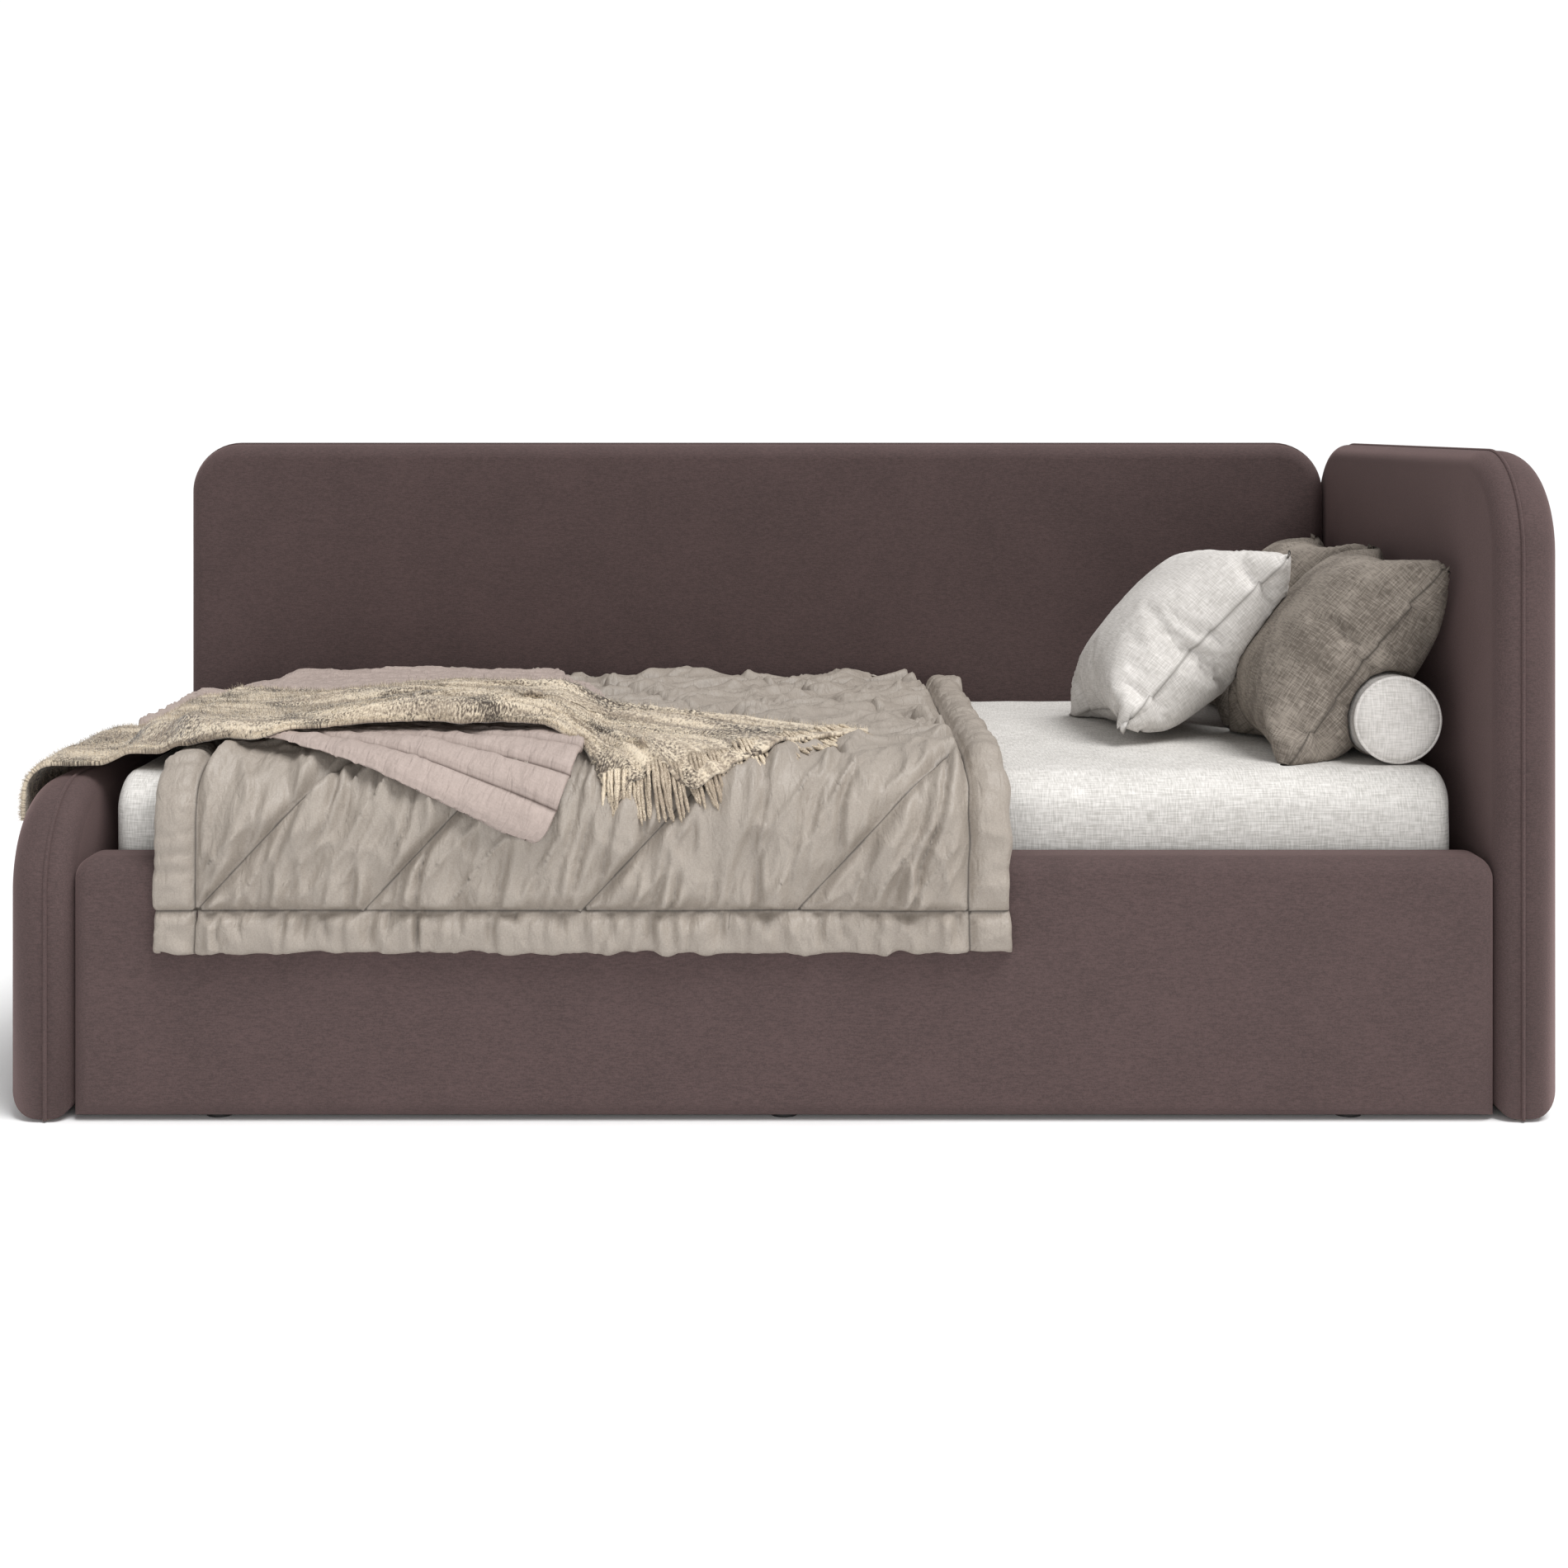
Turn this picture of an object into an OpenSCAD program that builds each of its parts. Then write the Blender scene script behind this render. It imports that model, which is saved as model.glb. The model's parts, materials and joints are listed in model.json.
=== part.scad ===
// Single daybed with a lift-up sleeping base over a storage box, made up with its bedding.
// Millimetres. X runs from the foot end to the head end, Y from the front to the back, Z is up.
// The origin is on the floor, at the middle of the bed's plan.

/* [Overall] */
// Length between the foot panel and the head panel
inner_l = 2060; // [1500:10:2600]
// Depth from the front rail's face to the back panel's rear face
bed_d = 1080; // [850:10:1700]
// Height of the head panel and the back panel
head_h = 968; // [700:1:1200]
// Height of the foot panel
foot_h = 479; // [400:1:700]
// Height of the front rail
rail_h = 382; // [330:1:440]

/* [Upholstered panels] */
// Thickness of the head and foot panels
panel_t = 98; // [75:1:120]
// Thickness of the back panel
back_t = 93; // [75:1:120]
// Thickness of a panel's inner pad, from its face to the piped seam
inner_pad_t = 37; // [25:1:50]
// Thickness of the board inside each panel
core_t = 18; // [12:1:24]
// Corner radius of the panels' outline
panel_r = 150; // [60:1:180]
// Corner radius of the back panel's outline
back_r = 90; // [60:1:180]
// Roundness of a pad's edge towards its face
pad_edge_r = 26; // [8:1:28]
// Radius of the piping
piping_r = 3; // [2:0.5:4]

/* [Storage box] */
// Thickness of the front rail with its padding
rail_t = 65; // [50:1:80]
// Thickness of the board inside the front rail
rail_board_t = 25; // [15:1:30]
// Thickness of the box's rear board
rear_board_t = 18; // [12:1:25]
// Thickness of the box's end boards
end_board_t = 16; // [12:1:22]
// Height of the glides under the bed
glide_h = 5; // [3:1:8]

/* [Mattress] */
// Thickness of the mattress
mattress_t = 190; // [120:1:240]
// Height of the mattress's underside above the floor
mattress_z = 302; // [290:1:330]
// Number of slats
slat_n = 14; // [8:1:18]

/* [Lift mechanism] */
// Distance between the two pivots of an arm
arm_l = 700; // [560:1:860]
// Distance from an arm's fixed pivot to each end of its gas spring
spring_r = 230; // [200:1:240]
// Diameter of a fixed pivot pin
pivot_d = 12; // [8:1:14]
// Diameter of the cross tube between two arms
tube_d = 20; // [16:1:24]

/* [Bedding] */
// Width of the large quilt along the bed
quilt_w = 1242; // [900:1:1500]
// Height of the large quilt's hem above the floor
quilt_hem_z = 248; // [150:1:350]
// Diameter of the bolster
bolster_d = 136; // [100:1:160]
// Side of a square cushion
cushion_w = 400; // [300:1:450]

/* [Hidden] */
$fn = 48;
eps = 1;
fit = 0.1;

// panels
x_in = inner_l / 2;
y_front = -bed_d / 2;
y_rear = bed_d / 2;
y_back = y_rear - back_t;
outer_pad_t = panel_t - inner_pad_t;
rear_pad_t = back_t - inner_pad_t;
core_inset = 8;
panel_low_r = 10;
head_h_body = head_h - glide_h;
foot_h_body = foot_h - glide_h;
x_seam = x_in + inner_pad_t;
y_seam = y_back + inner_pad_t;
foot_run = y_back - y_front;
back_x0 = -x_in - panel_t;
back_x1 = x_in - piping_r;
nub = 2;

// front rail
rail_h_body = rail_h - glide_h;
rail_r = 44;
rail_edge_r = 24;
rail_inset = 8;
y_rail_in = y_front + rail_t;

// box
box_h = 289;
floor_t = 8;
batten_h = 15;
batten_w = 45;
batten_xs = [-inner_l / 4, 0, inner_l / 4];
y_box_rear = y_back - rear_board_t;
box_d = y_box_rear - y_rail_in;
x_box = x_in - end_board_t;
floor_z = glide_h + batten_h;
floor_top = floor_z + floor_t;
glide_d = 40;
bracket_leg = 50;
bracket_s = 3;
bracket_h = 180;
bracket_z = 60;
screw_d = 10;
screw_h = 2.5;
rest_gap = 0.4;
rest_h = 24;
rest_w = 60;

// lift mechanism: q is the distance from the middle plane between the two box boards
mech_y = (y_rail_in + y_box_rear) / 2;
q_board = box_d / 2;
plate_t = 5;
arm_t = 6;
side_gap = 1.5;
q_plate = q_board - plate_t;
q_arm_out = q_plate - side_gap;
q_arm_in = q_arm_out - arm_t;
q_top_out = q_arm_in - side_gap;
q_top_in = q_top_out - plate_t;
base_rail_w = 30;
base_rail_h = 35;
q_base_in = q_top_in - base_rail_w;
base_z = mattress_z - 52;
pivot_z = 190;
pivot_foot_x = -x_in + 170;
pivot_gap = arm_l + 100;
pivot_head_x = pivot_foot_x + pivot_gap;
arm_w = 40;
pin_head_d = 22;
pin_head_t = 5;
flat_head_t = 1;
strip_w = 50;
strip_over = 34;

// gas spring: an isosceles triangle about the arm's fixed pivot, so its body turns at half the arm's rate
spring_low_a = 39;
spring_high_a = 11;
spring_lean = 90 + (spring_high_a - spring_low_a) / 2;
spring_l = 2 * spring_r * sin((spring_low_a + spring_high_a) / 2);
spring_low = [pivot_foot_x + spring_r * cos(spring_low_a), pivot_z - spring_r * sin(spring_low_a)];
spring_high = [pivot_foot_x + spring_r * cos(spring_high_a), pivot_z + spring_r * sin(spring_high_a)];
barrel_d = 20;
rod_d = 10;
eye_d = 22;
eye_w = 12;
q_eye = q_arm_in - 6.5 - eye_w;
low_stud_d = 10;
high_stud_d = 8;
open_eye_bore = 12.6;
stud_cap_t = 3;

// slatted base
base_x = x_in - 50;
slat_w = 68;
slat_t = 8;
slat_pitch = (2 * base_x - 110) / (slat_n - 1);
holder_w = slat_w + 8;
holder_l = 28;
holder_h = mattress_z - base_z - base_rail_h;
slat_half = q_top_in - 3;
strap_w = 40;
strap_t = 3;
strap_x = -inner_l * 0.22;

// mattress
mattress_x = x_in - 30;
y_mat_front = y_rail_in + 18;
y_mat_rear = y_back - 4;
mattress_r = 45;
mattress_top = mattress_z + mattress_t;

// bedding, each layer lying on the one below
quilt_top_t = 28;
pink_t = 18;
throw_t = 24;
quilt_x0 = -mattress_x + 88;
quilt_x1 = quilt_x0 + quilt_w;
quilt_top = mattress_top + quilt_top_t;
pink_top = quilt_top + pink_t;
throw_top = pink_top + throw_t;
y_bed_rear = y_mat_rear - 12;
drop_in = y_front - 1.5;
drop_out = y_front - 14;
pink_out = drop_out - 9;
fringe_out = pink_out - 8;
foot_clear = foot_h + 4.5;

// cushions
bolster_x = x_in - 100;
bolster_l = 760;
cushion_t = 204;
white_t = 218;
cushion_pinch = 14;
brown_lean = 52;
white_lean = 45;
brown_mid = [x_in - 150, mattress_top + 147];
brown_at = [-190, cushion_w - 186];
white_mid = [x_in - 367, mattress_top + 153];

// ---- shared shapes ----

// what is cut from a square corner at the origin to round it
module corner_waste(r) {
  difference() {
    translate([-eps, -eps]) square(r + eps);
    translate([r, r]) circle(r = r, $fn = 72);
  }
}

// a standing outline: x along, y up, its own radius at the upper left, upper right and lower corners
module outline(w, h, r_left, r_right, r_low) {
  difference() {
    square([w, h]);
    if (r_left > 0) translate([0, h]) mirror([0, 1]) corner_waste(r_left);
    if (r_right > 0) translate([w, h]) rotate(180) corner_waste(r_right);
    if (r_low > 0) corner_waste(r_low);
    if (r_low > 0) translate([w, 0]) mirror([1, 0]) corner_waste(r_low);
  }
}

// the outline drawn in by a margin at the sides and the top, and raised at the bottom
module inner_outline(w, h, r_left, r_right, margin, low) {
  translate([margin, low])
    outline(w - 2 * margin, h - margin - low, max(r_left - margin, 0), max(r_right - margin, 0), 0);
}

// a pad from z = 0 at its seam to z = t at its face, with its edges rounded towards the face
module pad_block(w, h, r_left, r_right, t, edge_r) {
  intersection() {
    linear_extrude(t) outline(w, h, r_left, r_right, panel_low_r);
    translate([0, h + eps, 0]) rotate([90, 0, 0]) linear_extrude(h + 2 * eps) outline(w, t, edge_r, edge_r, 0);
    translate([-eps, 0, 0]) rotate([90, 0, 90]) linear_extrude(w + 2 * eps) outline(h, t, panel_low_r, edge_r, 0);
  }
}

// a pad that wraps a board at its seam and leaves a groove for the piping
module piped_pad(w, h, r_left, r_right, t) {
  difference() {
    pad_block(w, h, r_left, r_right, t, pad_edge_r);
    translate([0, 0, -eps]) linear_extrude(core_t / 2 + eps) inner_outline(w, h, r_left, r_right, core_inset, -eps);
    translate([0, 0, -eps]) linear_extrude(piping_r + eps) difference() {
      translate([-eps, -eps]) square([w + 2 * eps, h + 2 * eps]);
      inner_outline(w, h, r_left, r_right, piping_r, -2 * eps);
    }
  }
}

module panel_board(w, h, r_left, r_right) {
  linear_extrude(core_t, center = true) inner_outline(w, h, r_left, r_right, core_inset, 0);
}

module piping_quarter(r) {
  rotate_extrude(angle = 90, $fn = 96) translate([r, 0]) circle(r = piping_r, $fn = 20);
}

module piping_run(l) {
  cylinder(h = l, r = piping_r, $fn = 20);
}

// piping round an outline, from the lower left over the top, and down the right side when asked
module piping_path(w, h, r_left, r_right, right_side) {
  translate([0, -nub, 0]) rotate([-90, 0, 0]) piping_run(h - r_left + nub);
  translate([r_left, h - r_left, 0]) rotate(90) piping_quarter(r_left);
  translate([r_left, h, 0]) rotate([0, 90, 0]) piping_run(w - r_left - r_right);
  if (right_side) {
    translate([w - r_right, h - r_right, 0]) piping_quarter(r_right);
    translate([w, -nub, 0]) rotate([-90, 0, 0]) piping_run(h - r_right + nub);
  }
}

// from a standing outline to the plane of the head or foot panel, facing +X
module across(x) {
  translate([x, y_front, glide_h]) rotate([90, 0, 90]) children();
}

// the same, facing -X
module across_back(x) {
  translate([x, 0, 0]) mirror([1, 0, 0]) translate([0, y_front, glide_h]) rotate([90, 0, 90]) children();
}

// from a standing outline to the plane of the back panel, facing -Y
module along(x, y) {
  translate([x, y, glide_h]) rotate([90, 0, 0]) children();
}

// the same, facing +Y
module along_back(x, y) {
  translate([x, y, glide_h]) mirror([0, 1, 0]) rotate([90, 0, 0]) children();
}

// ---- head panel ----

module headboard_core() {
  color("tan") across(x_seam) panel_board(bed_d, head_h_body, panel_r, panel_r);
}

module headboard_inner_pad() {
  color("rosybrown") across_back(x_seam) piped_pad(bed_d, head_h_body, panel_r, panel_r, inner_pad_t);
}

module headboard_outer_pad() {
  color("rosybrown") across(x_seam) piped_pad(bed_d, head_h_body, panel_r, panel_r, outer_pad_t);
}

module headboard_piping() {
  color("dimgray") across(x_seam) piping_path(bed_d, head_h_body, panel_r, panel_r, true);
}

// ---- foot panel ----

module footboard_core() {
  color("tan") across(-x_seam) panel_board(foot_run, foot_h_body, panel_r, 0);
}

module footboard_inner_pad() {
  color("rosybrown") across(-x_seam) piped_pad(foot_run, foot_h_body, panel_r, 0, inner_pad_t);
}

module footboard_outer_pad() {
  color("rosybrown") across_back(-x_seam) piped_pad(foot_run, foot_h_body, panel_r, 0, outer_pad_t);
}

module footboard_piping() {
  color("dimgray") across(-x_seam) piping_path(foot_run, foot_h_body, panel_r, 0, false);
}

// ---- back panel ----

module back_core() {
  color("tan") along(back_x0, y_seam) panel_board(back_x1 - back_x0, head_h_body, back_r, back_r);
}

module back_front_pad() {
  color("rosybrown") along(back_x0, y_seam) piped_pad(back_x1 - back_x0, head_h_body, back_r, back_r, inner_pad_t);
}

module back_rear_pad() {
  color("rosybrown") along_back(back_x0, y_seam) piped_pad(back_x1 - back_x0, head_h_body, back_r, back_r, rear_pad_t);
}

module back_piping() {
  color("dimgray") along(back_x0, y_seam) piping_path(back_x1 - back_x0, head_h_body, back_r, back_r, true);
}

// ---- front rail and storage box ----

module rail_pocket() {
  inner_outline(inner_l, rail_h_body, rail_r, rail_r, rail_inset, 0);
}

module rail_board() {
  color("burlywood") along(-x_in, y_rail_in) linear_extrude(rail_board_t) rail_pocket();
}

module rail_pad() {
  color("rosybrown") along(-x_in, y_rail_in) difference() {
    pad_block(inner_l, rail_h_body, rail_r, rail_r, rail_t, rail_edge_r);
    translate([0, 0, -eps]) linear_extrude(rail_board_t + eps) rail_pocket();
    translate([rail_inset, -eps, -eps]) cube([inner_l - 2 * rail_inset, 2 * eps, rail_board_t + eps]);
  }
}

module rear_board() {
  color("burlywood") translate([-x_in, y_box_rear, glide_h]) cube([inner_l, rear_board_t, box_h]);
}

module end_board(x) {
  translate([x, y_rail_in, glide_h]) cube([end_board_t, box_d, box_h]);
}

module end_board_head() {
  color("burlywood") end_board(x_box);
}

module end_board_foot() {
  color("burlywood") end_board(-x_in);
}

module floor_panel() {
  color("wheat") translate([-x_box, y_rail_in, floor_z]) cube([2 * x_box, box_d, floor_t]);
}

module floor_battens() {
  color("tan") for (x = batten_xs)
    translate([x - batten_w / 2, y_rail_in, glide_h]) cube([batten_w, box_d, batten_h]);
}

module floor_cleats() {
  color("tan") for (x = [-x_box, x_box - batten_h])
    translate([x, y_rail_in, glide_h]) cube([batten_h, box_d, batten_h]);
}

module glides() {
  panel_ys = [y_front + 90, 0, y_back - 90];
  color("black") {
    for (x = [-x_seam, x_seam], y = panel_ys) translate([x, y, 0]) cylinder(h = glide_h, d = glide_d);
    for (x = batten_xs, y = [y_rail_in + 60, 0, y_box_rear - 60]) translate([x, y, 0]) cylinder(h = glide_h, d = glide_d);
    for (x = [-inner_l * 0.4, 0, inner_l * 0.4], y = [y_front + rail_t - 22, y_seam])
      translate([x, y, 0]) cylinder(h = glide_h, d = glide_d);
  }
}

// an angle bracket in a corner, its legs along +X and +Y
module corner_bracket() {
  cube([bracket_leg, bracket_s, bracket_h]);
  translate([0, bracket_s, 0]) cube([bracket_s, bracket_leg - bracket_s, bracket_h]);
}

// places something in each inside corner of the box
module at_box_corners() {
  translate([-x_box, y_rail_in, bracket_z]) children();
  translate([x_box, y_rail_in, bracket_z]) mirror([1, 0, 0]) children();
  translate([-x_box, y_box_rear, bracket_z]) mirror([0, 1, 0]) children();
  translate([x_box, y_box_rear, bracket_z]) mirror([1, 0, 0]) mirror([0, 1, 0]) children();
}

module corner_brackets() {
  color("silver") at_box_corners() corner_bracket();
}

// blocks on the end boards that carry the closed base, with a small gap for its arms' own stop
module base_rests() {
  reach = x_box - base_x + base_rail_w - 6;
  color("tan") for (m = [0, 1], y = [y_rail_in + 95, y_box_rear - 95])
    mirror([m, 0, 0]) translate([x_box - reach, y - rest_w / 2, base_z - rest_gap - rest_h]) cube([reach, rest_w, rest_h]);
}

module corner_screws() {
  color("gray") at_box_corners() for (z = [30, bracket_h - 30]) {
    translate([bracket_leg - 18, bracket_s, z]) rotate([-90, 0, 0]) cylinder(h = screw_h, d = screw_d);
    translate([bracket_s, bracket_leg - 18, z]) rotate([0, 90, 0]) cylinder(h = screw_h, d = screw_d);
  }
}

// ---- lift mechanism ----

// the rear side of the mechanism as drawn, and its mirror image at the front
module rear_side() {
  translate([0, mech_y, 0]) children();
}

module front_side() {
  translate([0, mech_y, 0]) mirror([0, 1, 0]) children();
}

// a flat piece drawn in x and z, from q0 to q1
module plate(q0, q1) {
  translate([0, q1, 0]) rotate([90, 0, 0]) linear_extrude(q1 - q0) children();
}

// a round pin across the mechanism at a point in x and z
module pin(at, q0, q1, d) {
  translate([at[0], q1, at[1]]) rotate([90, 0, 0]) cylinder(h = q1 - q0, d = d);
}

module side_plate() {
  plate(q_plate, q_board) {
    translate([pivot_foot_x - strip_over, pivot_z - strip_w / 2]) square([pivot_gap + 2 * strip_over, strip_w]);
    polygon([
      [spring_low[0] - 60, pivot_z - strip_w / 2 + eps],
      [spring_low[0] - 13, spring_low[1]],
      [spring_low[0] + 13, spring_low[1]],
      [spring_low[0] + 60, pivot_z - strip_w / 2 + eps]
    ]);
    translate(spring_low) circle(r = 13);
  }
}

module side_plate_front() {
  color("dimgray") front_side() side_plate();
}

module side_plate_rear() {
  color("dimgray") rear_side() side_plate();
}

module plate_screws() {
  for (k = [0.22, 0.5, 0.78])
    pin([pivot_foot_x + k * pivot_gap, pivot_z], q_plate - flat_head_t, q_plate, screw_d);
}

module side_plate_screws() {
  color("gray") {
    front_side() plate_screws();
    rear_side() plate_screws();
  }
}

module pivot_pair() {
  for (x = [pivot_foot_x, pivot_head_x]) {
    pin([x, pivot_z], q_arm_in - fit, q_plate, pivot_d);
    pin([x, pivot_z], q_arm_in - fit - pin_head_t, q_arm_in - fit, pin_head_d);
  }
}

module pivot_pins() {
  color("gray") {
    front_side() pivot_pair();
    rear_side() pivot_pair();
  }
}

module low_stud() {
  pin(spring_low, q_eye - fit, q_plate, low_stud_d);
  pin(spring_low, q_eye - fit - stud_cap_t, q_eye - fit, low_stud_d + 6);
}

module spring_low_studs() {
  color("gray") {
    front_side() low_stud();
    rear_side() low_stud();
  }
}

// an arm lying along +X from its fixed pivot, with a lug for the gas spring when asked
module arm(x, lug) {
  plate(q_arm_in, q_arm_out) difference() {
    union() {
      translate([x, pivot_z - arm_w / 2]) square([arm_l, arm_w]);
      translate([x, pivot_z]) circle(d = arm_w);
      translate([x + arm_l, pivot_z]) circle(d = arm_w);
      if (lug) {
        polygon([
          [spring_high[0] + 46, pivot_z + arm_w / 2 - eps],
          [spring_high[0] + 12, spring_high[1]],
          [spring_high[0] - 12, spring_high[1]],
          [spring_high[0] - 46, pivot_z + arm_w / 2 - eps]
        ]);
        translate(spring_high) circle(r = 12);
      }
    }
    translate([x, pivot_z]) circle(d = pivot_d + 2 * fit);
  }
}

module foot_arm_front() {
  color("slategray") front_side() arm(pivot_foot_x, true);
}

module foot_arm_rear() {
  color("slategray") rear_side() arm(pivot_foot_x, true);
}

module head_arm_front() {
  color("slategray") front_side() arm(pivot_head_x, false);
}

module head_arm_rear() {
  color("slategray") rear_side() arm(pivot_head_x, false);
}

module cross_tube(x) {
  rear_side() translate([x, q_arm_in, pivot_z]) rotate([90, 0, 0]) difference() {
    cylinder(h = 2 * q_arm_in, d = tube_d);
    translate([0, 0, -eps]) cylinder(h = 2 * q_arm_in + 2 * eps, d = tube_d - 4);
  }
}

module foot_tube() {
  color("slategray") cross_tube(pivot_foot_x + arm_l);
}

module head_tube() {
  color("slategray") cross_tube(pivot_head_x + arm_l);
}

module high_stud() {
  pin(spring_high, q_eye - eps, q_arm_in, high_stud_d);
  pin(spring_high, q_eye - eps - stud_cap_t, q_eye - eps, open_eye_bore + 4);
}

module spring_high_studs() {
  color("gray") {
    front_side() high_stud();
    rear_side() high_stud();
  }
}

// gas spring parts, drawn along +X from the lower pivot and leaned up
module spring_frame() {
  translate([spring_low[0], q_eye + eye_w / 2, spring_low[1]]) rotate([0, -spring_lean, 0]) children();
}

module eye(x, d, bore) {
  translate([x, eye_w / 2, 0]) rotate([90, 0, 0]) difference() {
    cylinder(h = eye_w, d = d);
    translate([0, 0, -eps]) cylinder(h = eye_w + 2 * eps, d = bore);
  }
}

module barrel() {
  spring_frame() {
    eye(0, eye_d, low_stud_d + 2 * fit);
    translate([9, 0, 0]) rotate([0, 90, 0]) difference() {
      cylinder(h = spring_l - 32, d = barrel_d);
      translate([0, 0, 15]) cylinder(h = spring_l, d = rod_d + 2 * fit);
      translate([0, eye_w, -9]) rotate([90, 0, 0]) cylinder(h = 2 * eye_w, d = low_stud_d + 2 * fit);
    }
  }
}

module rod() {
  spring_frame() {
    difference() {
      translate([30, 0, 0]) rotate([0, 90, 0]) cylinder(h = spring_l - 30, d = rod_d);
      translate([spring_l, eye_w, 0]) rotate([90, 0, 0]) cylinder(h = 2 * eye_w, d = open_eye_bore);
    }
    eye(spring_l, eye_d - 2, open_eye_bore);
  }
}

module spring_barrel_front() {
  color("black") front_side() barrel();
}

module spring_barrel_rear() {
  color("black") rear_side() barrel();
}

module spring_rod_front() {
  color("silver") front_side() rod();
}

module spring_rod_rear() {
  color("silver") rear_side() rod();
}

// ---- slatted base ----

module base_rail() {
  translate([-base_x, q_base_in, base_z]) cube([2 * base_x, base_rail_w, base_rail_h]);
}

module base_rail_front() {
  color("burlywood") front_side() base_rail();
}

module base_rail_rear() {
  color("burlywood") rear_side() base_rail();
}

module base_cross(x) {
  translate([x, mech_y - q_base_in, base_z]) cube([base_rail_w, 2 * q_base_in, base_rail_h]);
}

module base_end_head() {
  color("burlywood") base_cross(base_x - base_rail_w);
}

module base_end_foot() {
  color("burlywood") base_cross(-base_x);
}

module base_crossbar() {
  color("burlywood") base_cross(-base_rail_w / 2);
}

module top_plate() {
  tips = [pivot_foot_x + arm_l, pivot_head_x + arm_l];
  plate(q_top_in, q_top_out) difference() {
    union() {
      translate([tips[0] - 42, base_z]) square([pivot_gap + 84, base_rail_h - 3]);
      for (x = tips) {
        polygon([[x - 40, base_z + eps], [x - 18, pivot_z], [x + 18, pivot_z], [x + 40, base_z + eps]]);
        translate([x, pivot_z]) circle(r = 18);
      }
    }
    for (x = tips) translate([x, pivot_z]) circle(d = tube_d + 2 * fit);
  }
}

module top_plate_front() {
  color("dimgray") front_side() top_plate();
}

module top_plate_rear() {
  color("dimgray") rear_side() top_plate();
}

module top_screws() {
  for (k = [0.02, 0.34, 0.66, 0.98])
    pin([pivot_foot_x + arm_l + k * pivot_gap, base_z + base_rail_h / 2], q_top_out, q_top_out + flat_head_t, screw_d);
}

module top_plate_screws() {
  color("gray") {
    front_side() top_screws();
    rear_side() top_screws();
  }
}

function slat_x(i) = -base_x + 55 + i * slat_pitch;

module slats() {
  color("wheat") for (i = [0 : slat_n - 1])
    translate([slat_x(i) - slat_w / 2, mech_y - slat_half, mattress_z - slat_t]) cube([slat_w, 2 * slat_half, slat_t]);
}

module slat_holder(x) {
  translate([x - holder_w / 2, q_top_in - holder_l, base_z + base_rail_h]) difference() {
    cube([holder_w, holder_l, holder_h]);
    translate([(holder_w - slat_w) / 2, -eps, holder_h - slat_t])
      cube([slat_w, holder_l - 3 + eps, slat_t + eps]);
  }
}

module slat_holders() {
  color("black") for (i = [0 : slat_n - 1]) {
    front_side() slat_holder(slat_x(i));
    rear_side() slat_holder(slat_x(i));
  }
}

// a webbing loop standing up beside the mattress, to pull the base up by
module pull_strap() {
  z0 = base_z + 8;
  z1 = base_z + base_rail_h - 3;
  color("dimgray") front_side() translate([strap_x, 0, 0]) rotate([90, 0, 90]) linear_extrude(strap_w) polygon([
    [q_top_in, z0], [q_top_in, z1], [q_top_in + 1.3, z1 + 8], [q_top_in + 1.3, z1 + 110],
    [q_top_in + 1.3 + strap_t, z1 + 110], [q_top_in + 1.3 + strap_t, z1 + 6], [q_top_in + strap_t, z0]
  ]);
}

// ---- bedding ----

module mattress() {
  color("white") translate([-mattress_x, y_mat_front, mattress_z]) linear_extrude(mattress_t)
    outline(2 * mattress_x, y_mat_rear - y_mat_front, mattress_r, mattress_r, mattress_r);
}

// drawn in y and z, run along the bed
module along_bed(x0, x1) {
  translate([x0, 0, 0]) rotate([90, 0, 90]) linear_extrude(x1 - x0) children();
}

// drawn in x and z, run across the bed
module across_bed(y0, y1) {
  translate([0, y1, 0]) rotate([90, 0, 0]) linear_extrude(y1 - y0) children();
}

module quilt() {
  color("silver") along_bed(quilt_x0, quilt_x1) polygon([
    [y_bed_rear, mattress_top], [y_bed_rear, quilt_top], [y_mat_front + 10, quilt_top],
    [drop_out + 34, quilt_top - 6], [drop_out + 10, quilt_top - 28], [drop_out, quilt_top - 70],
    [drop_out, quilt_hem_z], [drop_in, quilt_hem_z], [drop_in, rail_h + 4],
    [y_mat_front - 3, mattress_top - 22], [y_mat_front - 3, mattress_top]
  ]);
}

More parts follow.
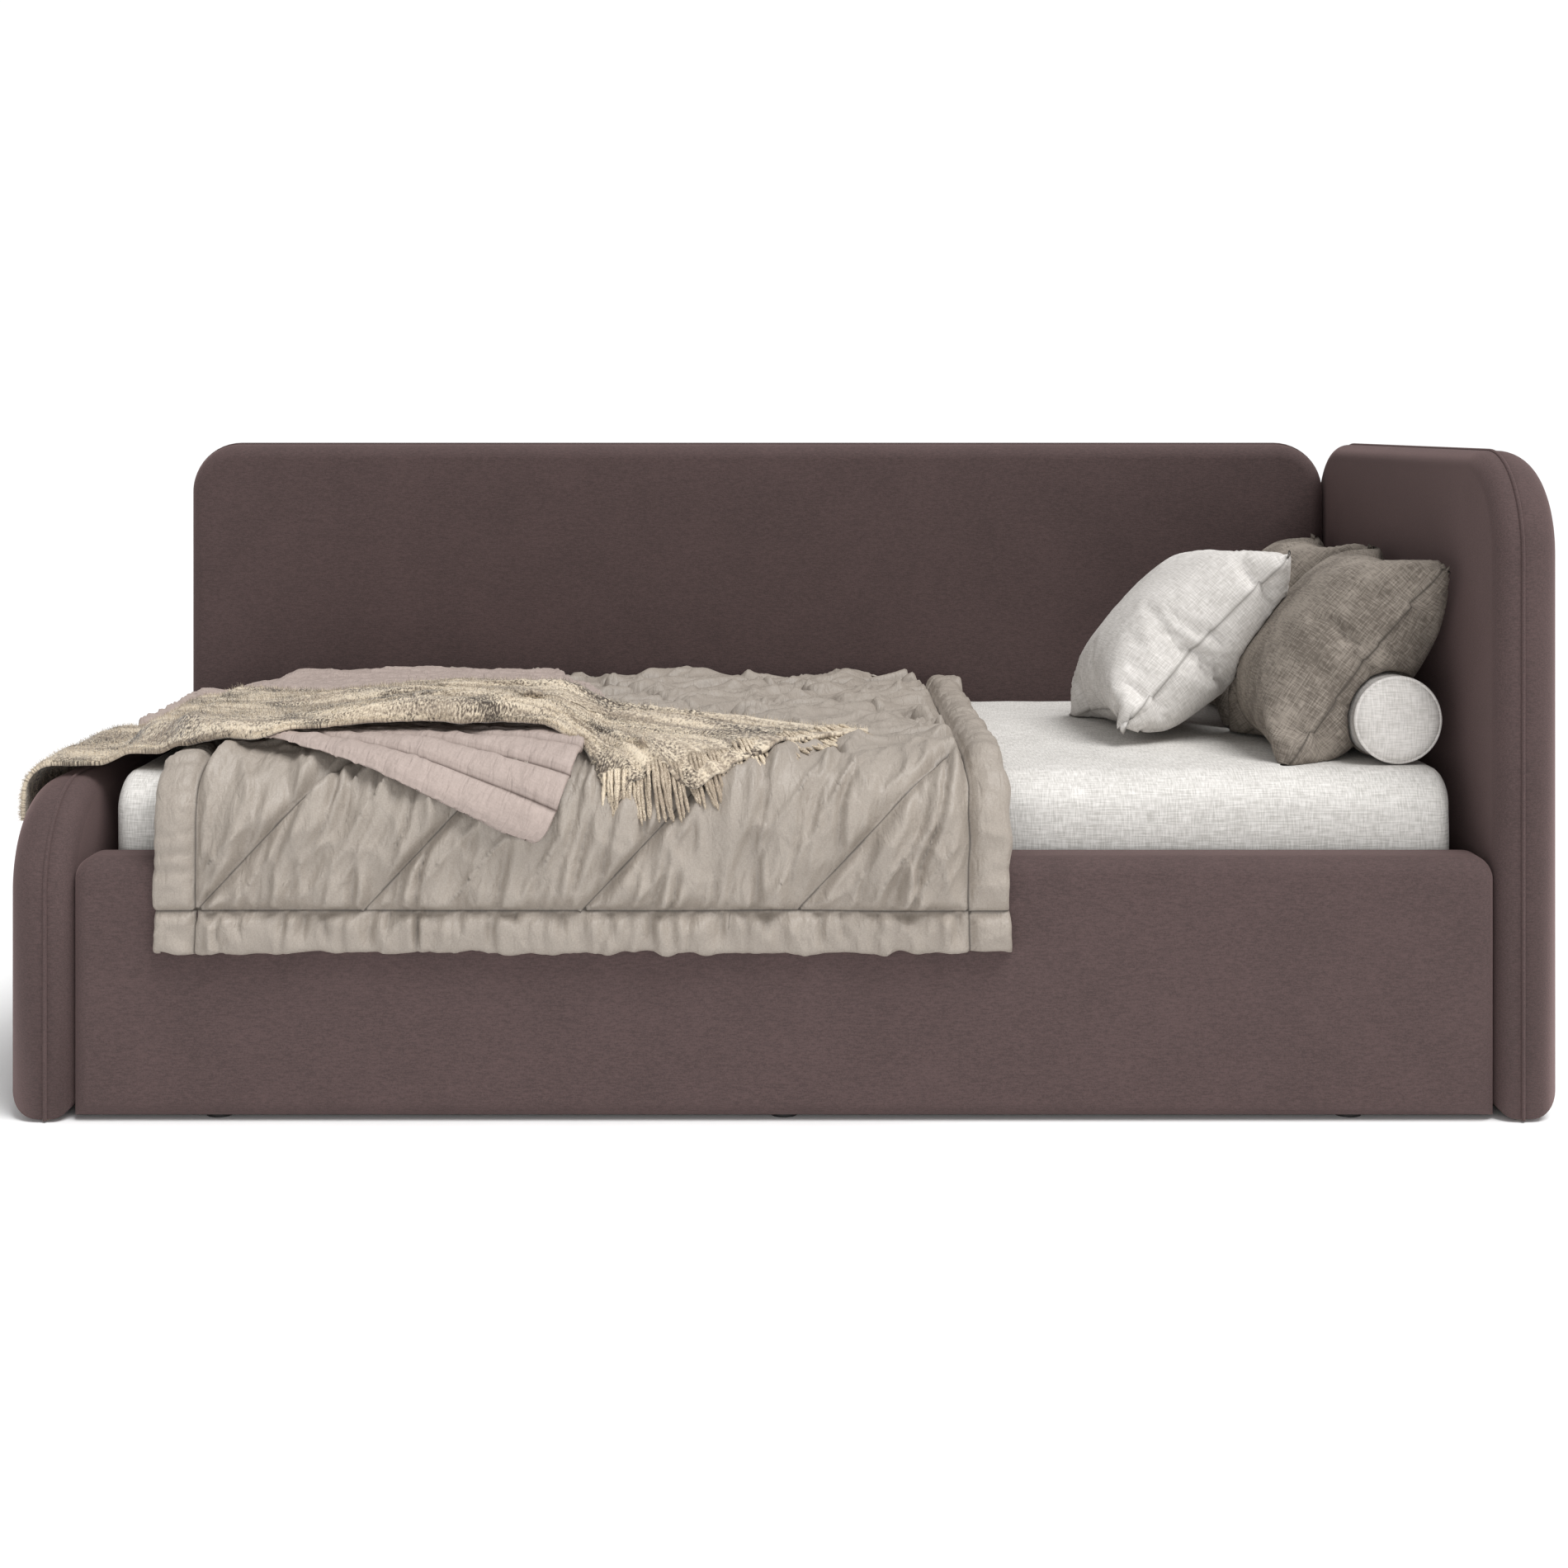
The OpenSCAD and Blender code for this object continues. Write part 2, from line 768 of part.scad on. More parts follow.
// the channel-stitched quilt across the foot end, its front corner hanging over the large quilt
module foot_quilt() {
  x_hang = quilt_x0 + 557;
  x_right = quilt_x0 + 630;
  y_fold = drop_out + 34;
  color("mistyrose") {
    intersection() {
      across_bed(y_fold, y_bed_rear) polygon([
        [x_right, quilt_top], [quilt_x0 - 1, quilt_top], [quilt_x0 - 1, mattress_top], [-mattress_x, mattress_top],
        [-x_in, foot_clear], [-x_in - 67, foot_clear], [-x_in - 67, foot_clear + 20], [-mattress_x, mattress_top + 22],
        [quilt_x0 - 40, mattress_top + 26], [quilt_x0 - 16, pink_top], [x_right, pink_top]
      ]);
      translate([0, 0, mattress_top - 40]) linear_extrude(150) polygon([
        [quilt_x0 + 79, y_fold], [x_right, y_fold], [x_right - 414, y_bed_rear - 20],
        [-x_in - 67, y_bed_rear - 20], [-x_in - 67, y_front + 548], [quilt_x0 - 60, y_front + 403],
        [quilt_x0 - 1, y_front + 401]
      ]);
    }
    across_bed(pink_out, drop_out) polygon([
      [quilt_x0 + 79, quilt_top - 10], [quilt_x0 + 285, quilt_top - 18], [quilt_x0 + 415, quilt_top - 40],
      [x_hang, mattress_top - 75], [x_right, quilt_top - 10]
    ]);
    along_bed(quilt_x0 + 79, x_right) polygon([
      [drop_out, quilt_top - 20], [pink_out, quilt_top - 20], [pink_out, quilt_top - 8],
      [y_fold, pink_top], [y_fold, quilt_top - 6], [drop_out + 10, quilt_top - 28], [drop_out, quilt_top - 28]
    ]);
  }
}

// the long throw over the foot panel, lying across the quilts to its fringed end
module throw() {
  x_end = quilt_x0 + 790;
  color("antiquewhite") intersection() {
    across_bed(y_front, y_rear) polygon([
      [-x_in - panel_t - 12, foot_h - 45], [-x_in - panel_t - 1, foot_h - 45], [-x_in - panel_t - 1, foot_clear],
      [-x_in, foot_clear], [-mattress_x, mattress_top], [quilt_x0 - 1, mattress_top],
      [quilt_x0 - 1, quilt_top], [quilt_x0 - 1, pink_top], [x_end, pink_top], [x_end, throw_top],
      [quilt_x0 - 12, throw_top], [quilt_x0 - 60, mattress_top + 26], [-x_in, foot_clear + 24],
      [-x_in - panel_t + 8, foot_clear + 22], [-x_in - panel_t - 12, foot_clear + 8]
    ]);
    linear_extrude(throw_top + 10) polygon([
      [-x_in - panel_t - 12, y_front + 112], [quilt_x0 + 150, y_front + 46], [quilt_x0 + 500, y_front + 150],
      [quilt_x0 + 690, y_front + 46], [x_end, y_front + 90], [quilt_x0 + 560, y_front + 586],
      [quilt_x0 + 150, y_front + 380], [quilt_x0 - 60, y_front + 395], [-x_in - panel_t - 12, y_front + 540]
    ]);
  }
}

// the fringe beyond the throw's end: hanging over the front, and lying on the quilt beside it
module throw_fringe() {
  x0 = quilt_x0 + 660;
  color("antiquewhite") {
    across_bed(drop_out - 8, drop_out) polygon([
      [x0, quilt_top - 30], [x0 + 5, quilt_top - 85], [x0 + 130, quilt_top - 70], [x0 + 230, quilt_top - 30]
    ]);
    translate([0, 0, quilt_top]) linear_extrude(12) polygon([
      [x0 + 132, y_front + 60], [x0 + 230, y_front + 50], [x0 + 380, y_front + 150], [x0 + 290, y_front + 240],
      [x0 + 132, y_front + 240]
    ]);
  }
}

// a lens section across a cushion: two arcs meeting just past its edges
module lens(half, t) {
  r = (half * half + t * t / 4) / t;
  intersection() {
    translate([0, r - t / 2]) circle(r = r, $fn = 96);
    translate([0, t / 2 - r]) circle(r = r, $fn = 96);
  }
}

// a square cushion lying flat about its middle: pinched sides, swelling to its middle both ways
module cushion_block(w, t) {
  reach = w / 2 + 8;
  intersection() {
    translate([0, 0, -t / 2]) linear_extrude(t) polygon([
      [-w / 2, -w / 2], [0, -w / 2 + cushion_pinch], [w / 2, -w / 2], [w / 2 - cushion_pinch, 0],
      [w / 2, w / 2], [0, w / 2 - cushion_pinch], [-w / 2, w / 2], [-w / 2 + cushion_pinch, 0]
    ]);
    translate([0, w / 2, 0]) rotate([90, 0, 0]) linear_extrude(w) lens(reach, t);
    translate([-w / 2, 0, 0]) rotate([90, 0, 90]) linear_extrude(w) lens(reach, t);
  }
}

// leans a cushion back by its angle from the bed, its middle at a point in x and z
module leaning(mid, y, lean, roll) {
  translate([mid[0], y, mid[1]]) rotate([0, -lean, 0]) rotate([0, 0, roll]) children();
}

module bolster_round(grow) {
  translate([bolster_x, mech_y + bolster_l / 2 + grow, mattress_top + bolster_d / 2]) rotate([90, 0, 0])
    cylinder(h = bolster_l + 2 * grow, d = bolster_d + 2 * grow, $fn = 96);
}

module bolster() {
  color("white") bolster_round(0);
}

// the white cushion gives way to the two behind it and rests on the mattress
module cushion_white() {
  color("white") difference() {
    leaning(white_mid, 0, white_lean, 6) cushion_block(cushion_w, white_t);
    for (y = brown_at) leaning(brown_mid, y, brown_lean, 0) cushion_block(cushion_w + 2, cushion_t + 2);
    translate([0, y_front, mattress_top - 100]) cube([x_in, bed_d, 100]);
  }
}

// a brown cushion, dented by the bolster under it
module brown_cushion(y) {
  difference() {
    leaning(brown_mid, y, brown_lean, 0) cushion_block(cushion_w, cushion_t);
    bolster_round(0);
    translate([0, y_front, mattress_top - 100]) cube([x_in, bed_d, 100]);
    translate([x_in - 0.5, y_front, mattress_top - 100]) cube([200, bed_d, 600]);
  }
}

module cushion_brown_front() {
  color("gray") brown_cushion(brown_at[0]);
}

module cushion_brown_back() {
  color("gray") brown_cushion(brown_at[1]);
}

headboard_core();
headboard_inner_pad();
headboard_outer_pad();
headboard_piping();
footboard_core();
footboard_inner_pad();
footboard_outer_pad();
footboard_piping();
back_core();
back_front_pad();
back_rear_pad();
back_piping();
rail_board();
rail_pad();
rear_board();
end_board_head();
end_board_foot();
floor_panel();
floor_battens();
floor_cleats();
glides();
corner_brackets();
corner_screws();
base_rests();
side_plate_front();
side_plate_rear();
side_plate_screws();
pivot_pins();
spring_low_studs();
foot_arm_front();
foot_arm_rear();
foot_tube();
spring_high_studs();
head_arm_front();
head_arm_rear();
head_tube();
spring_barrel_front();
spring_barrel_rear();
spring_rod_front();
spring_rod_rear();
base_rail_front();
base_rail_rear();
base_end_head();
base_end_foot();
base_crossbar();
top_plate_front();
top_plate_rear();
top_plate_screws();
slats();
slat_holders();
pull_strap();
mattress();
quilt();
foot_quilt();
throw();
throw_fringe();
cushion_white();
cushion_brown_front();
cushion_brown_back();
bolster();
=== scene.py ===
# %% [markdown]
# # Daybed with its bedding
# A single daybed with upholstered head, foot and back panels and a lift-up slatted base.
# The hard parts are shown as they were made; everything soft is made again here as cloth.
# All lengths are metres, in the bed's own frame: X to the head end, Y to the back, Z up.

import json
import math

import bmesh
import bpy
import numpy as np
from mathutils import Matrix, Vector
from mathutils.bvhtree import BVHTree


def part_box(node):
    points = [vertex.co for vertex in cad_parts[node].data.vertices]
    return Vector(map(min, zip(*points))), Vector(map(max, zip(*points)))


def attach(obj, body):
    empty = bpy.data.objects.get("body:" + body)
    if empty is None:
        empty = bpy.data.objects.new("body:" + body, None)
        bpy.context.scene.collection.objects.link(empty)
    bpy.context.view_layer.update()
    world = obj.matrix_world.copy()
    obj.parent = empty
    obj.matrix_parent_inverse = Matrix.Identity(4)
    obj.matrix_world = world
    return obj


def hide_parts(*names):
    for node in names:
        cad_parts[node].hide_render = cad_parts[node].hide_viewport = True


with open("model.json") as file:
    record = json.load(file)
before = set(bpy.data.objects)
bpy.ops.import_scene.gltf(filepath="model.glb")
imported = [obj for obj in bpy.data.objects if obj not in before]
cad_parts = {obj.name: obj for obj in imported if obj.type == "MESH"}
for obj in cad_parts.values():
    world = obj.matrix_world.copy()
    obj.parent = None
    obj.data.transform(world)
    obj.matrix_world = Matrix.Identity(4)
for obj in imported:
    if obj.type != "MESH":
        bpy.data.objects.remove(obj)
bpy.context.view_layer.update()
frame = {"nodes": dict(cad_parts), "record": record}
scene = bpy.context.scene
print("frame loaded,", len(frame["nodes"]), "nodes")

# %% [markdown]
# ## Small tools
# Colours are given as sRGB codes and made linear in one place.
# A piece is a mesh with its finish, its body and the solid it stands for.
# Unevenness comes from seeded fields, so the bed looks the same every time.

# %% Tools


def linear(code):
    """A colour code as linear red, green, blue and a full alpha."""
    parts = [int(code[i : i + 2], 16) / 255 for i in (1, 3, 5)]
    return [c / 12.92 if c <= 0.04045 else ((c + 0.055) / 1.055) ** 2.4 for c in parts] + [1.0]


def add(tree, kind, values=None, links=None, **settings):
    """Adds one shader node with its settings, its constant inputs and its links."""
    made = tree.nodes.new(kind)
    for key, value in settings.items():
        setattr(made, key, value)
    for key, value in (values or {}).items():
        made.inputs[key].default_value = value
    for key, value in (links or {}).items():
        tree.links.new(value, made.inputs[key])
    return made


def ripple(u, v, cell_u, cell_v, seed):
    """Smooth random heights from -1 to 1 over the lengths u and v, with bumps of the cell sizes."""
    a, b = np.asarray(u, float) / cell_u, np.asarray(v, float) / cell_v
    i, j = np.floor(a).astype(int), np.floor(b).astype(int)
    fa, fb = a - i, b - j
    fa, fb = fa * fa * (3 - 2 * fa), fb * fb * (3 - 2 * fb)
    i, j = i - i.min(), j - j.min()
    grid = np.random.default_rng(seed).uniform(-1, 1, (i.max() + 2, j.max() + 2))
    near = grid[i, j] * (1 - fa) + grid[i + 1, j] * fa
    far = grid[i, j + 1] * (1 - fa) + grid[i + 1, j + 1] * fa
    return near * (1 - fb) + far * fb


def ease(t, low, high):
    """0 below low, 1 above high, and a smooth rise between them."""
    t = np.clip((np.asarray(t, float) - low) / (high - low), 0, 1)
    return t * t * (3 - 2 * t)


def points_of(mesh):
    """A mesh's points as rows of x, y, z."""
    flat = np.zeros(len(mesh.vertices) * 3)
    mesh.vertices.foreach_get("co", flat)
    return flat.reshape(-1, 3)


def set_points(mesh, points):
    mesh.vertices.foreach_set("co", np.asarray(points, float).ravel())
    mesh.update()


def mesh_of(bm, name, outward=True):
    """Closes a bmesh into a mesh, with the normals of a closed shape turned outward."""
    if outward:
        bmesh.ops.recalc_face_normals(bm, faces=bm.faces)
    mesh = bpy.data.meshes.new(name)
    bm.to_mesh(mesh)
    bm.free()
    return mesh


def piece(name, mesh, finish, body, stands_for=()):
    """Puts a mesh in the scene as a smooth named piece that rides with a body."""
    made = bpy.data.objects.new(name, mesh)
    scene.collection.objects.link(made)
    mesh.materials.clear()
    mesh.materials.append(finish)
    mesh.polygons.foreach_set("use_smooth", [True] * len(mesh.polygons))
    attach(made, body)
    if stands_for:
        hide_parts(*stands_for)
    return made


def cloth_grid(name, nu, nv):
    """A grid mesh of nu by nv squares, and its two parameters from 0 to 1 at each point."""
    bm = bmesh.new()
    bmesh.ops.create_grid(bm, x_segments=nu, y_segments=nv, size=0.5)
    mesh = mesh_of(bm, name, outward=False)
    flat = points_of(mesh)
    return mesh, flat[:, 0] + 0.5, flat[:, 1] + 0.5


def lay_out(mesh, u, v):
    """A UV map in metres: where each point lies on the flat cloth."""
    layer = mesh.uv_layers.new(name="flat")
    corner = np.zeros(len(mesh.loops), int)
    mesh.loops.foreach_get("vertex_index", corner)
    layer.data.foreach_set("uv", np.stack([u[corner], v[corner]], 1).ravel())


def mark(mesh, name, values):
    """Keeps one number for each point, for the finish to read."""
    layer = mesh.attributes.new(name, "FLOAT", "POINT")
    layer.data.foreach_set("value", np.asarray(values, float))


# %% [markdown]
# ## Finishes
# The upholstery is a short dense velour: nearly matt, with a soft edge light and a faint level grain.
# The big quilt is a dull satin, so its puckers carry soft highlights.
# Linen shows slubs both ways. A seam's dark line, read from the piece's own seam marks, is the thread's
# colour together with painted shade where the stitching sinks in.

# %% Finishes


def cloth_finish(
    name, base, dark, rough, sheen, grain, relief, slub=(1, 1), by_uv=True,
    blotch=0.25, gloss=0.3, seam=None, crumple=0, edge_light=None,
):
    """A cloth in two close tones, mixed by its threads both ways and by a broad unevenness.

    The grain is a thread's width and the relief its depth; a slub is how far a thread's tone runs on.
    """
    made = bpy.data.materials.new(name)
    made.use_nodes = True
    tree = made.node_tree
    shader = tree.nodes["Principled BSDF"]
    place = add(tree, "ShaderNodeTexCoord").outputs["UV" if by_uv else "Object"]
    fine = 1 / grain
    along = add(tree, "ShaderNodeMapping", {"Scale": (fine / slub[0], fine, fine)}, {"Vector": place})
    across = add(tree, "ShaderNodeMapping", {"Scale": (fine, fine / slub[1], fine)}, {"Vector": place})
    warp = add(tree, "ShaderNodeTexNoise", {"Scale": 1.0, "Detail": 2.0}, {"Vector": along.outputs[0]})
    weft = add(tree, "ShaderNodeTexNoise", {"Scale": 1.0, "Detail": 2.0}, {"Vector": across.outputs[0]})
    threads = add(tree, "ShaderNodeMath", None, {0: warp.outputs[0], 1: weft.outputs[0]}, operation="ADD")
    broad = add(tree, "ShaderNodeTexNoise", {"Scale": 9.0, "Detail": 3.0}, {"Vector": place})
    share = add(tree, "ShaderNodeMath", {1: blotch}, {0: broad.outputs[0]}, operation="MULTIPLY")
    both = add(tree, "ShaderNodeMath", None, {0: threads.outputs[0], 1: share.outputs[0]}, operation="ADD")
    middle = 1 + blotch / 2
    tone = add(tree, "ShaderNodeMapRange", {1: middle - 0.24, 2: middle + 0.24}, {0: both.outputs[0]})
    two_tones = {6: linear(dark), 7: linear(base)}
    colour = add(tree, "ShaderNodeMix", two_tones, {0: tone.outputs[0]}, data_type="RGBA").outputs[2]
    # a seam darkens to the seam colour: the thread's own tone plus painted shade of the stitched hollow
    if seam:
        line = add(tree, "ShaderNodeAttribute", attribute_name="seam")
        thread_and_shade = add(tree, "ShaderNodeMath", {1: 3.0}, {0: line.outputs["Fac"]}, operation="POWER")
        links = {0: thread_and_shade.outputs[0], 6: colour}
        colour = add(tree, "ShaderNodeMix", {7: linear(seam)}, links, data_type="RGBA").outputs[2]
    values = {"Strength": 0.6, "Distance": relief}
    bump = add(tree, "ShaderNodeBump", values, {"Height": threads.outputs[0]})
    if crumple:
        upright = add(tree, "ShaderNodeMapping", {"Scale": (85, 38, 60)}, {"Vector": place})
        values = {"Scale": 1.0, "Detail": 3.0, "Distortion": 0.8}
        dents = add(tree, "ShaderNodeTexNoise", values, {"Vector": upright.outputs[0]})
        values = {"Strength": 0.7, "Distance": crumple}
        bump = add(tree, "ShaderNodeBump", values, {"Height": dents.outputs[0], "Normal": bump.outputs[0]})
    tree.links.new(colour, shader.inputs["Base Color"])
    tree.links.new(bump.outputs[0], shader.inputs["Normal"])
    shader.inputs["Roughness"].default_value = rough
    shader.inputs["Specular IOR Level"].default_value = gloss
    shader.inputs["Sheen Weight"].default_value = sheen
    shader.inputs["Sheen Roughness"].default_value = 0.45
    shader.inputs["Sheen Tint"].default_value = linear(edge_light or base)
    return made


def hard_finish(name, colour, rough, metal=0.0, grain=None):
    """Wood, steel or plastic; grain is how fine the wood's figure is along each axis."""
    made = bpy.data.materials.new(name)
    made.use_nodes = True
    tree = made.node_tree
    shader = tree.nodes["Principled BSDF"]
    shader.inputs["Roughness"].default_value = rough
    shader.inputs["Metallic"].default_value = metal
    place = add(tree, "ShaderNodeTexCoord").outputs["Object"]
    stretched = add(tree, "ShaderNodeMapping", {"Scale": grain or (400, 400, 400)}, {"Vector": place})
    values = {"Scale": 1.0, "Detail": 5.0}
    figure = add(tree, "ShaderNodeTexNoise", values, {"Vector": stretched.outputs[0]})
    depth = 0.6 if grain else 0.9
    darker = [c * depth for c in linear(colour)[:3]] + [1.0]
    two_tones = {6: darker, 7: linear(colour)}
    mixed = add(tree, "ShaderNodeMix", two_tones, {0: figure.outputs[0]}, data_type="RGBA")
    values = {"Strength": 0.15, "Distance": 0.0003}
    bump = add(tree, "ShaderNodeBump", values, {"Height": figure.outputs[0]})
    tree.links.new(mixed.outputs[2], shader.inputs["Base Color"])
    tree.links.new(bump.outputs[0], shader.inputs["Normal"])
    return made


# brown-mauve velour: nearly matt, lighter and warmer where it turns away from the eye
velour = cloth_finish(
    "brown velour", "#584847", "#473b3a", 0.85, 0.5, 0.0016, 0.0003, (5, 1),
    by_uv=False, blotch=0.35, gloss=0.2, edge_light="#a68c8a",
)
# white linen mattress cover: slubs both ways, a cool white with grey threads
linen_white = cloth_finish(
    "white linen", "#dddad6", "#b6b3ae", 0.9, 0.1, 0.0022, 0.0004, (12, 9), seam="#a9a6a1"
)
# dull satin in warm grey: soft highlights on every pucker; each seam's dark line is thread colour plus
# painted shade
satin_taupe = cloth_finish(
    "taupe satin", "#9f968c", "#928980", 0.5, 0.2, 0.0012, 0.0001, (3, 3),
    gloss=0.4, seam="#4c453e", crumple=0.005,
)
# washed cotton in dusty pink: duller than the satin and finely crumpled; its seam colour is thread plus
# painted shade
cotton_pink = cloth_finish(
    "dusty pink cotton", "#ac9d96", "#a1938c", 0.65, 0.2, 0.0016, 0.0002, (4, 4),
    seam="#5d4f49", crumple=0.006,
)
# cushion linens: the white one warm and slubby, the brown one stonewashed; their seam colours are thread
# plus painted shade
linen_cushion = cloth_finish(
    "cushion linen", "#dcd8d4", "#bdb9b4", 0.9, 0.1, 0.0022, 0.0004, (10, 10), blotch=0.5, seam="#8f8b86"
)
linen_brown = cloth_finish(
    "stonewashed linen", "#958c82", "#655d55", 0.92, 0.1, 0.0024, 0.0005, (10, 9),
    blotch=1.3, seam="#4a443e",
)

hard = {
    "panel_board": hard_finish("chipboard", "#c8a982", 0.7, grain=(60, 60, 60)),
    "floor_sheet": hard_finish("fibreboard", "#cfc0a4", 0.55, grain=(30, 80, 30)),
    "pine": hard_finish("planed pine", "#d6b283", 0.55, grain=(8, 8, 90)),
    "glide_plastic": hard_finish("black plastic", "#1c1c1c", 0.5),
    "zinc_steel": hard_finish("zinc-plated steel", "#c4c6c8", 0.35, 1.0),
    "fastener_steel": hard_finish("bright steel", "#b4b4b6", 0.3, 1.0),
    "powder_steel": hard_finish("graphite powder coat", "#3a3a3d", 0.45),
    "barrel_paint": hard_finish("black gloss paint", "#151516", 0.25),
    "rod_chrome": hard_finish("chromed rod", "#d8d9dc", 0.08, 1.0),
    "beech_slat": hard_finish("lacquered beech", "#d9b88a", 0.4, grain=(70, 6, 70)),
    "holder_plastic": hard_finish("black nylon", "#222224", 0.5),
    "webbing": hard_finish("woven strap", "#3d3835", 0.8),
    "piping": velour,
}
for part in frame["record"]["subparts"]:
    if part["material_slot"] in hard:
        surface = frame["nodes"][part["node"]].data
        surface.materials.clear()
        surface.materials.append(hard[part["material_slot"]])
print("finishes:", len(bpy.data.materials))

# %% [markdown]
# ## Upholstered panels
# Each panel is two stuffed pads sewn together round a board, with piping in the seam.
# A pad starts as one upright face; its corners are bevelled round, it is extruded to its
# thickness, and the face's edge is bevelled wide, the seam's edge narrow, as stuffing rounds them.

# %% Pads


def pad_mesh(name, w, h, thick, left, right, edge, seam_edge=0.004):
    """A pad lying on its seam at z = 0, w along x and h along y, with its upper corners rounded."""
    bm = bmesh.new()
    corners = [bm.verts.new(p) for p in ((0, 0, 0), (w, 0, 0), (w, h, 0), (0, h, 0))]
    bm.faces.new(corners)
    for vert, r in ((corners[2], right), (corners[3], left)):
        if r > 0.01:
            bmesh.ops.bevel(
                bm, geom=[vert], offset=r, segments=24, profile=0.5, affect="VERTICES", material=-1
            )
    risen = bmesh.ops.extrude_face_region(bm, geom=list(bm.faces))["geom"]
    raised = [g for g in risen if isinstance(g, bmesh.types.BMVert)]
    bmesh.ops.translate(bm, vec=(0, 0, thick), verts=raised)
    rim = [e for e in bm.edges if all(v.co.z > thick - 1e-6 for v in e.verts)]
    bmesh.ops.bevel(bm, geom=rim, offset=edge, segments=12, profile=0.5, affect="EDGES", material=-1)
    seam = [e for e in bm.edges if all(v.co.z < 1e-6 for v in e.verts) and len(e.link_faces) == 2]
    bmesh.ops.bevel(bm, geom=seam, offset=seam_edge, segments=3, profile=0.5, affect="EDGES", material=-1)
    return mesh_of(bm, name)


def make_pad(node, face, left, right, edge=0.028):
    """A pad in its node's box, facing along +x, -x, +y or -y, with the seam on the other side."""
    low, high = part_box(node)
    size = high - low
    depth = 0 if face[1] == "x" else 1
    across = 1 - depth
    sign = 1 if face[0] == "+" else -1
    mesh = pad_mesh(node + "_cover", size[across], size.z, size[depth], left, right, edge)
    turn = Matrix.Identity(4)
    for row in range(3):
        turn[row][0] = 1.0 if row == across else 0.0
        turn[row][1] = 1.0 if row == 2 else 0.0
        turn[row][2] = sign * (1.0 if row == depth else 0.0)
    turn.translation = Vector([low[depth] if sign > 0 else high[depth]] * 3)
    turn.translation[across] = low[across]
    turn.translation.z = low.z
    mesh.transform(turn)
    bm = bmesh.new()
    bm.from_mesh(mesh)
    bmesh.ops.recalc_face_normals(bm, faces=bm.faces)
    bm.to_mesh(mesh)
    bm.free()
    made = piece("cover_" + node, mesh, velour, "bed_box", [node])
    return made


corner, back_corner = 0.15, 0.09
make_pad("headboard_inner_pad", "-x", corner, corner)
make_pad("headboard_outer_pad", "+x", corner, corner, edge=0.05)
make_pad("footboard_inner_pad", "+x", corner, 0.0)
make_pad("footboard_outer_pad", "-x", corner, 0.0, edge=0.05)
make_pad("back_front_pad", "-y", back_corner, back_corner)
make_pad("back_rear_pad", "+y", back_corner, back_corner)
rail = make_pad("rail_pad", "-y", 0.034, 0.034, edge=0.026)
print("rail cover:", len(rail.data.polygons), "faces")

# %% [markdown]
# ## Mattress
# A foam mattress in a slubby linen cover, soft at every edge.
# A cube is cut into strips where it curves, and each point is then pulled onto a rounded block.
# A low random wave keeps the top from looking like a board.

# %% Mattress


def soft_block(low, high, r, step):
    """A block's mesh with cuts every step, and closer ones near its edges; also its flat cloth places."""
    bm = bmesh.new()
    bmesh.ops.create_cube(bm, size=1)
    size, middle = high - low, (low + high) / 2
    bmesh.ops.scale(bm, vec=size, verts=bm.verts)
    bmesh.ops.translate(bm, vec=middle, verts=bm.verts)
    for axis in range(3):
        cuts = [r * (k / 6) for k in range(1, 7)]
        cuts += [size[axis] - c for c in cuts]
        inner = size[axis] - 2 * r
        count = max(int(inner / step), 1)
        cuts += [r + inner * k / count for k in range(1, count)]
        normal = Vector((axis == 0, axis == 1, axis == 2))
        for cut in cuts:
            at = Vector(low)
            at[axis] += cut
            everything = bm.verts[:] + bm.edges[:] + bm.faces[:]
            bmesh.ops.bisect_plane(bm, geom=everything, dist=1e-5, plane_co=at, plane_no=normal)
    flat = bm.loops.layers.uv.new("flat")
    for face in bm.faces:
        face.normal_update()
        n = face.normal
        u, v = (1, 2) if abs(n.x) > 0.5 else (0, 2) if abs(n.y) > 0.5 else (0, 1)
        for loop in face.loops:
            loop[flat].uv = (loop.vert.co[u], loop.vert.co[v])
    return mesh_of(bm, "block")


def round_off(points, low, high, r):
    """Moves the points of a block's surface onto the block with edges of radius r."""
    inner = np.clip(points, np.array(low) + r, np.array(high) - r)
    away = points - inner
    length = np.maximum(np.linalg.norm(away, axis=1, keepdims=True), 1e-9)
    return inner + away / length * r, away / length


mattress_low, mattress_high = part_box("mattress")
mattress_r = 0.058
mattress_mesh = soft_block(mattress_low, mattress_high, mattress_r, 0.03)
# the ends are rounded half as far along the bed as the long edges are across it
squash = np.array((2.0, 1.0, 1.0))
low_corner, high_corner = np.array(mattress_low) * squash, np.array(mattress_high) * squash
points, out = round_off(points_of(mattress_mesh) * squash, low_corner, high_corner, mattress_r)
points, out = points / squash, out / squash
swell = 0.0025 * ripple(points[:, 0], points[:, 1] + 2 * points[:, 2], 0.19, 0.15, 11)
swell += 0.0012 * ripple(points[:, 0], points[:, 1] + 2 * points[:, 2], 0.06, 0.07, 12)
set_points(mattress_mesh, points + out * (swell - 0.002)[:, None])
piece("mattress_cover", mattress_mesh, linen_white, "lift_base", ["mattress"])
mattress_top = mattress_high.z
print("mattress", [round(c, 3) for c in (*mattress_low, *mattress_high)])

# %% [markdown]
# ## How the bedclothes lie
# Quilts and throw follow one draped line: flat on the mattress, round its front edge, and down.
# A place on a cloth is x along the bed and s down that line from the back edge.
# Every layer asks the same function where that is, so no layer can cross another.

# %% The draped line

